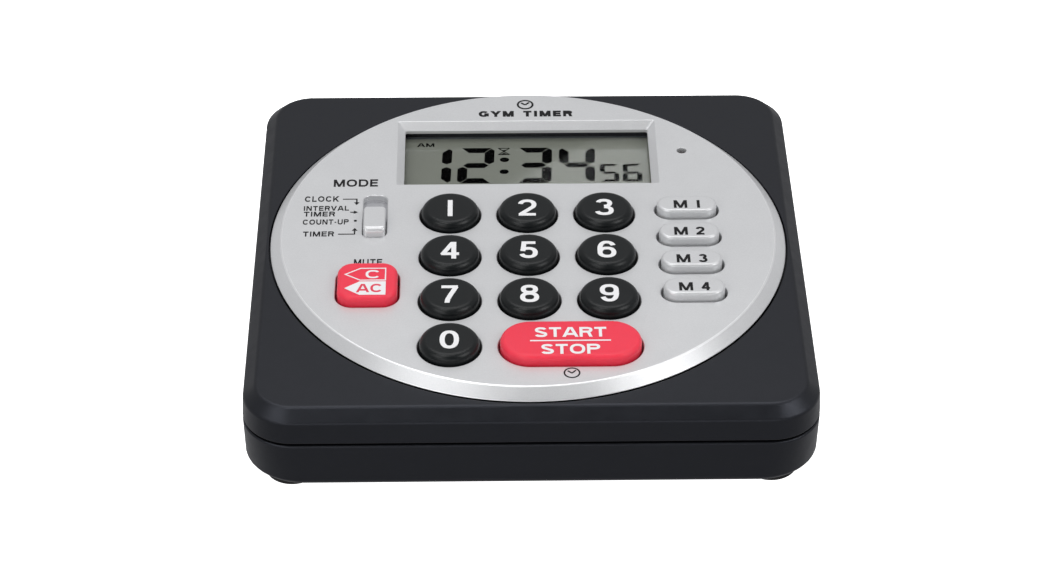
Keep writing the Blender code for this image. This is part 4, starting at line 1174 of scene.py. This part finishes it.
def make_keys():
    """Caps and their marks: white on black and red, black on silver."""
    for digit, node in enumerate(DIGITS):
        body = node + "_body"
        piece(node + "_cap", [key_cap(node, 1.42)], KEY_BLACK, body, [node], 50)
        x, y, _ = middle(node)
        top = span(node)[1][2]
        ink(node + "_mark", centred(str(digit), x, y - 0.3, 5.46, 0.153, 0, 1.15, 0.763), top, INK_WHITE, body)
    for i, node in enumerate(MEMORY, start=1):
        body = node + "_body"
        piece(node + "_cap", [key_cap(node, 0.6, 0.1)], KEY_SILVER, body, [node], 50)
        x, y, _ = middle(node)
        top = span(node)[1][2]
        wide, gap = (0.67, 1.9) if i == 1 else (1.7, 1.62)
        left = x - (2.66 + gap + wide) / 2
        shapes = word("M", left, y - 1.73, 2.6, 0.21, 0, left + 2.66)[0]
        shapes += word(str(i), left + 2.66 + gap, y - 1.73, 2.6, 0.2, 0, left + 2.66 + gap + wide, squeeze=0.8)[0]
        ink(node + "_mark", shapes, top, INK_BLACK, body)
    piece("start_stop_cap", [key_cap("start_stop_key", 1.0)], KEY_RED, "start_stop_key_body", ["start_stop_key"],
          50)
    top = span("start_stop_key")[1][2]
    shapes = word("START", 0.67, -36.1, 2.95, 0.2, 0.12, 14.23)[0]
    shapes += ribbon(np.array(((-0.2, -37.2), (15.0, -37.2))), 0.34)
    shapes += word("STOP", 1.8, -41.25, 2.95, 0.2, 0.12, 12.9)[0]
    ink("start_stop_mark", shapes, top, INK_WHITE, "start_stop_key_body")
    piece("clear_cap", [key_cap("clear_key", 0.9)], KEY_RED, "clear_key_body", ["clear_key"], 50)
    top = span("clear_key")[1][2]
    outline = arrow_outline(-35.5, -32.6, -27.75, -17.85, -14.05)
    shapes = ribbon(np.vstack((outline, outline[:1])), 0.26, True)
    shapes += word("C", -31.6, -17.25, 2.6, 0.17, 0.1, -28.8)[0]
    ink("clear_mark", shapes, top, INK_WHITE, "clear_key_body")
    ink("all_clear_flag", [arrow_outline(-35.6, -32.7, -27.65, -22.5, -18.25)], top, INK_WHITE, "clear_key_body")
    ink("all_clear_mark", word("AC", -33.2, -21.75, 2.65, 0.19, 0.12, -28.3)[0], top + INK_LIFT, INK_RED,
        "clear_key_body", 0.02)


def make_mat():
    """Silicone sheet, and a dome under each key."""
    low, high = span("keypad_mat")
    sheet_top = low[2] + 0.8
    left, right, front, back = -21.8, 22.6, -43.5, 11.6
    ear_left, ear_right, ear_front, ear_back = -39.2, 39.8, -25.5, -10.0
    outline = np.array((
        (left, front), (right, front), (right, ear_front), (ear_right, ear_front), (ear_right, back),
        (left, back), (left, ear_back), (ear_left, ear_back), (ear_left, ear_front), (left, ear_front),
    ), float)
    sheet = skin([lift(outline, low[2]), lift(outline, sheet_top)])
    piece("keypad_sheet", [sheet], SILICONE, "housing", ["keypad_mat"])
    for node in KEYS:
        size, centre = hole_size(node)
        levels = (
            (0.8, sheet_top - 0.2, 0), (0.8, sheet_top + 0.3, 0.2), (1.7, high[2], 0.3), (2.6, high[2], 0),
        )
        dome = stepped(size, hole_corner(node, size), levels, centre, 8)
        made = piece(node + "_dome", [dome], SILICONE, "housing", ())
        made.modifiers.clear()
        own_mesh(made)


# ---- battery bay ---------------------------------------------------------------------------------------


def make_cells():
    """Two cells with a dark sleeve, a copper-coloured band, and steel ends."""
    for name in ("front", "back"):
        node = "battery_" + name
        low, high = span(node)
        centre = (low + high) / 2
        radius, half = (high[1] - low[1]) / 2, (high[0] - low[0]) / 2
        sleeve_end, nub = half - 1.1, 1.9
        split = sleeve_end - 13.0
        parts = (
            (CELL_DARK, ((4.1, -half + 0.05, 0), (radius, -half + 0.05, 0.4), (radius, split, 0))),
            (CELL_BAND, ((radius, split, 0), (radius, sleeve_end, 0.4), (4.1, sleeve_end, 0))),
            (BRASS, ((0, -half + 0.15, 0), (4.05, -half + 0.15, 0), (4.05, -half + 1.0, 0), (0, -half + 1.0, 0))),
            (BRASS, ((0, sleeve_end - 1, 0), (4.05, sleeve_end - 1, 0), (4.05, sleeve_end - 0.1, 0.2),
                     (2.2, sleeve_end - 0.1, 0.2), (nub, half, 0.3), (0, half, 0))),
        )
        flip = 1 if name == "front" else -1
        place = Matrix.Translation(centre) @ Matrix.Rotation(math.radians(90 * flip), 4, "Y")
        finishes = [CELL_DARK, CELL_BAND, BRASS]
        solids = [(*turn(lathe(profile, (0, 0), 72), place), finishes.index(kind)) for kind, profile in parts]
        piece(node + "_cell", solids, finishes, "housing", [node], 40)


def make_contacts():
    """Contact plates with rounded corners and their conical springs."""
    for node in ("contact_plus", "contact_minus", "contact_bridge"):
        low, high = span(node)
        centre = (low + high) / 2
        thick = 0.4
        if node == "contact_bridge":
            x = centre[0]
        else:
            x = low[0] + thick / 2
        y_size, z_size = (high - low)[1], 8.2
        plate = slab((z_size, y_size), -thick / 2, thick / 2, (0, 0), 1.2, 0.08, 6)
        place = Matrix.Translation((x, centre[1], 8.3)) @ Matrix.Rotation(math.radians(90), 4, "Y")
        solids = [turn(plate, place)]
        if node != "contact_bridge":
            solids.append(slab((3.0, 3.0), 11.2, 11.6, (x + 1.5, centre[1]), 0.4, 0.06))
        piece(node + "_plate", solids, STEEL, "housing", [node])
    for node in ("spring_front", "spring_back"):
        low, high = span(node)
        centre = (low + high) / 2
        flip = -1 if node == "spring_front" else 1
        wire, turns = 0.3, 4.25
        start, stop = (high[0] - wire, low[0] + wire) if flip > 0 else (low[0] + wire, high[0] - wire)
        path = []
        for share in np.linspace(0, 1, 170):
            reach = 3.4 - 1.2 * share
            angle = math.tau * turns * share
            ease = min(1.0, max(0.0, (share - 0.12) / 0.76))
            path.append((start + (stop - start) * ease, centre[1] + reach * math.cos(angle),
                         8.1 + reach * math.sin(angle)))
        piece(node + "_coil", [tube(path, wire, 10)], STEEL, "housing", [node])


def make_door():
    """Battery door with rounded edges, grip grooves, a spring tongue and two hooks."""
    low, high = DOOR_LOW, DOOR_HIGH
    size = (54.0, 23.8)
    hinge_y = high[1] - 1.5
    centre = (0, hinge_y - size[1] / 2)
    bottom, top = low[2], 2.7
    body = stepped(
        size, 0.7,
        ((1.0, bottom, 0), (0, bottom, 0.22), (0, top, 0.08), (1.0, top, 0)),
        centre, 6, 4,
    )
    door = add("door_panel", build_mesh("door_panel", [body], [BLACK]))
    hooks = [slab((6, 2.4), 2.3, 3.0, (side * 17, hinge_y + 1.5 - 1.2), 0.3, 0.1) for side in (-1, 1)]
    carve(door, hooks, "UNION")
    front = hinge_y - size[1]
    cuts = [slab((0.8, 6.4), 0.5, 4.5, (side * 5.2, front + 2.7), 0.35, 0.02) for side in (-1, 1)]
    for i in range(3):
        groove = tube(((-3.4, front + 1.2 + i * 1.1, bottom - 0.08), (3.4, front + 1.2 + i * 1.1, bottom - 0.08)), 0.42, 20)
        cuts.append(groove)
    carve(door, cuts)
    finish_piece(door, "battery_door_body", ["battery_door"], 35)


# ---- inside --------------------------------------------------------------------------------------------


def make_inner_parts():
    """Rounder stand-ins for the turned parts on the board."""
    low, high = span("buzzer")
    centre = (low + high)[:2] / 2
    radius = (high[0] - low[0]) / 2
    profile = ((2.0, low[2], 0.1), (radius, low[2], 0.5), (radius, high[2], 0.3), (0, high[2], 0), (0, 6.0, 0), (2.0, 6.0, 0))
    piece("sounder", [lathe(profile, centre, 72, True)], RESIN, "housing", ["buzzer"])
    low, high = span("crystal_can")
    centre = (low + high) / 2
    half = (high[0] - low[0]) / 2
    can = lathe(((0, -half, 0), (1.0, -half, 0.3), (1.0, half, 0.3), (0, half, 0)), (0, 0), 40)
    place = Matrix.Translation(centre) @ Matrix.Rotation(math.radians(90), 4, "Y")
    piece("crystal_tube", [turn(can, place)], STEEL, "housing", ["crystal_can"])
    low, high = span("chip_cover")
    centre = (low + high)[:2] / 2
    blob = ((0, low[2], 0), (3.2, low[2] + 0.15, 2.0), (4.8, low[2] + 0.9, 1.0), (5.5, high[2], 0), (0, high[2], 0))
    piece("chip_blob", [lathe(blob, centre, 64, False, 6)], RESIN, "housing", ["chip_cover"])
    low, high = span("alarm_led")
    centre = (low + high)[:2] / 2
    lamp = ((0, low[2], 0), (1.5, low[2], 0.1), (1.5, 17.2, 0.2), (0.7, 17.5, 0.1), (0.7, 19.9, 0.35), (0, high[2], 0))
    piece("alarm_lamp", [lathe(lamp, centre, 40)], LAMP, "housing", ["alarm_led"])


# ---- stage ---------------------------------------------------------------------------------------------

FLOOR_GAIN = 1.2
ROOM = {"front_low": 0.48, "front_high": 0.10, "front_floor": 0.38, "back_floor": 0.55, "back": 0.48}

CAMERA_PLACE = (-0.008595, -0.506763, 0.388524)
CAMERA_TURN = 0.917
CAMERA_DIP = 36.953
CAMERA_ROLL = 0.113
LENS_LENGTH = 108.65


def make_camera():
    """The photographer's view."""
    yaw, dip, roll = (math.radians(v) for v in (CAMERA_TURN, CAMERA_DIP, CAMERA_ROLL))
    forward = Vector((math.sin(yaw) * math.cos(dip), math.cos(yaw) * math.cos(dip), -math.sin(dip)))
    right = Vector((math.cos(yaw), -math.sin(yaw), 0))
    up = right.cross(forward)
    right, up = right * math.cos(roll) + up * math.sin(roll), up * math.cos(roll) - right * math.sin(roll)
    data = bpy.data.cameras.new("camera")
    data.lens, data.sensor_width, data.sensor_fit = LENS_LENGTH, 36, "HORIZONTAL"
    data.clip_start, data.clip_end = 0.01, 20
    camera = add("camera", data)
    matrix = Matrix((right, up, -forward)).transposed().to_4x4()
    matrix.translation = Vector(CAMERA_PLACE)
    camera.matrix_world = matrix
    bpy.context.scene.camera = camera


def softbox(name, direction, distance, size, radiance):
    """A soft square light aimed at the timer."""
    data = bpy.data.lights.new(name, "AREA")
    data.shape, data.size, data.size_y = "RECTANGLE", size[0], size[1]
    data.energy = radiance * math.pi * size[0] * size[1]
    light = add(name, data)
    away = Vector(direction).normalized()
    light.location = away * distance + Vector((0, 0, 0.01))
    light.rotation_mode = "QUATERNION"
    light.rotation_quaternion = away.to_track_quat("Z", "Y")
    return light


def make_world():
    """Pale room. In front it is bright near the horizon and dark higher up, and behind it is evenly pale."""
    world = bpy.data.worlds.new("room")
    bpy.context.scene.world = world
    world.use_nodes = True
    tree = world.node_tree
    background = tree.nodes["Background"]
    place = tree.nodes.new("ShaderNodeTexCoord")
    split = tree.nodes.new("ShaderNodeSeparateXYZ")
    tree.links.new(place.outputs["Generated"], split.inputs["Vector"])

    def ramp(source, low, high, first, second):
        node = tree.nodes.new("ShaderNodeMapRange")
        node.interpolation_type = "SMOOTHSTEP"
        for key, value in (("From Min", low), ("From Max", high), ("To Min", first), ("To Max", second)):
            if isinstance(value, float):
                node.inputs[key].default_value = value
            else:
                tree.links.new(value, node.inputs[key])
        tree.links.new(source, node.inputs["Value"])
        return node.outputs["Result"]

    height, depth = split.outputs["Z"], split.outputs["Y"]
    above = ramp(height, 0.25, 0.60, ROOM["front_low"], ROOM["front_high"])
    front = ramp(height, -0.10, 0.10, ROOM["front_floor"], above)
    back = ramp(height, -0.10, 0.10, ROOM["back_floor"], ROOM["back"])
    tree.links.new(ramp(depth, -0.45, 0.35, front, back), background.inputs["Strength"])
    background.inputs["Color"].default_value = (1.0, 1.0, 1.02, 1)


def make_floor():
    """Wide pale floor, lifted to white where the camera sees it."""
    tree = FLOOR.node_tree
    path = tree.nodes.new("ShaderNodeLightPath")
    gain = tree.nodes.new("ShaderNodeMath")
    gain.operation = "MULTIPLY"
    gain.inputs[1].default_value = FLOOR_GAIN
    tree.links.new(path.outputs["Is Camera Ray"], gain.inputs[0])
    shader = tree.nodes["Principled BSDF"]
    shader.inputs["Emission Color"].default_value = (1, 1, 1, 1)
    tree.links.new(gain.outputs["Value"], shader.inputs["Emission Strength"])
    size = 3000.0
    mesh = bpy.data.meshes.new("floor")
    corners = [(-size, -size), (size, -size), (size, size), (-size, size)]
    mesh.from_pydata([(x * MM, y * MM, -0.00002) for x, y in corners], [], [(0, 1, 2, 3)])
    mesh.materials.append(FLOOR)
    floor = add("floor", mesh)
    floor.visible_glossy = False


def reflection_card(name, receiver, height, strength, back):
    """A bright card behind the timer, seen only in the right half of one surface of the window.

    The edge is given where it is seen in the lens. Sight lines are followed down to the height of the
    reflecting surface and then back up to the card."""
    x0, y0 = WINDOW_CENTRE
    edge_in_lens = ((x0 + 19.2, y0 + 14.6), (x0 + 14.7, y0 + 9.3), (x0 + 8.7, y0 + 2.7), (x0 - 0.3, y0 - 5.4),
                    (x0 - 8.0, y0 - 11.6))
    eye = np.array(CAMERA_PLACE)
    points = []
    for x, y in edge_in_lens:
        ray = np.array((x, y, LENS_HIGH[2])) * MM - eye
        spot = eye + ray * (eye[2] - height * MM) / -ray[2]
        ray[2] = -ray[2]
        points.append(spot + ray * (back - spot[1]) / ray[1])
    wide = 1.2
    corners = [tuple(p) for p in points] + [(points[-1][0] + wide, back, points[-1][2])]
    corners.append((points[-1][0] + wide, back, points[0][2]))
    mesh = bpy.data.meshes.new(name)
    mesh.from_pydata(corners, [], [tuple(range(len(corners)))])
    glow = Nodes(name + "_glow")
    light = glow.node("ShaderNodeEmission")
    light.inputs["Strength"].default_value = strength
    out = next(x for x in glow.tree.nodes if x.type == "OUTPUT_MATERIAL")
    through = glow.node("ShaderNodeBsdfTransparent")
    both = glow.node("ShaderNodeAddShader")
    glow.link(light.outputs["Emission"], both.inputs[0])
    glow.link(through.outputs["BSDF"], both.inputs[1])
    glow.link(both.outputs["Shader"], out.inputs["Surface"])
    mesh.materials.append(glow.material)
    card = add(name, mesh)
    for flag in ("camera", "diffuse", "transmission", "volume_scatter", "shadow"):
        setattr(card, "visible_" + flag, False)
    only = bpy.data.collections.new(name + "_receiver")
    only.objects.link(bpy.data.objects[receiver])
    card.light_linking.receiver_collection = only


def make_stage():
    """Floor, lights, world and camera."""
    make_floor()
    make_world()
    softbox("left_light", (-0.53, -0.53, 0.66), 0.75, (0.44, 0.32), 2.7)
    softbox("right_light", (0.66, -0.34, 0.68), 0.75, (0.35, 0.35), 4.2)
    softbox("top_light", (0.0, 0.35, 0.94), 0.9, (0.7, 0.4), 2.6)
    softbox("crown_light", (-0.22, -0.18, 0.96), 0.9, (0.28, 0.28), 5.0)
    softbox("low_light", (0.0, -0.98, 0.13), 0.9, (0.9, 0.10), 2.4)
    softbox("front_light", (-0.45, -0.85, 0.30), 0.9, (0.5, 0.14), 2.6)
    reflection_card("lens_card", "window_lens", LENS_HIGH[2], 6.1, 0.55)
    reflection_card("film_card", "display_cell", GLASS_HIGH[2], 1.5, 0.60)
    make_camera()
    scene = bpy.context.scene
    scene.view_settings.view_transform = "Standard"
    scene.view_settings.look = "None"
    scene.view_settings.exposure = 0
    scene.view_settings.gamma = 1


repaint_cad_nodes()
make_top_shell()
make_bottom_shell()
make_feet()
make_screws()
make_face()
display_top = make_display()
make_segments(display_top)
make_face_print()
make_knob()
make_keys()
make_mat()
make_cells()
make_contacts()
make_door()
make_inner_parts()
make_stage()
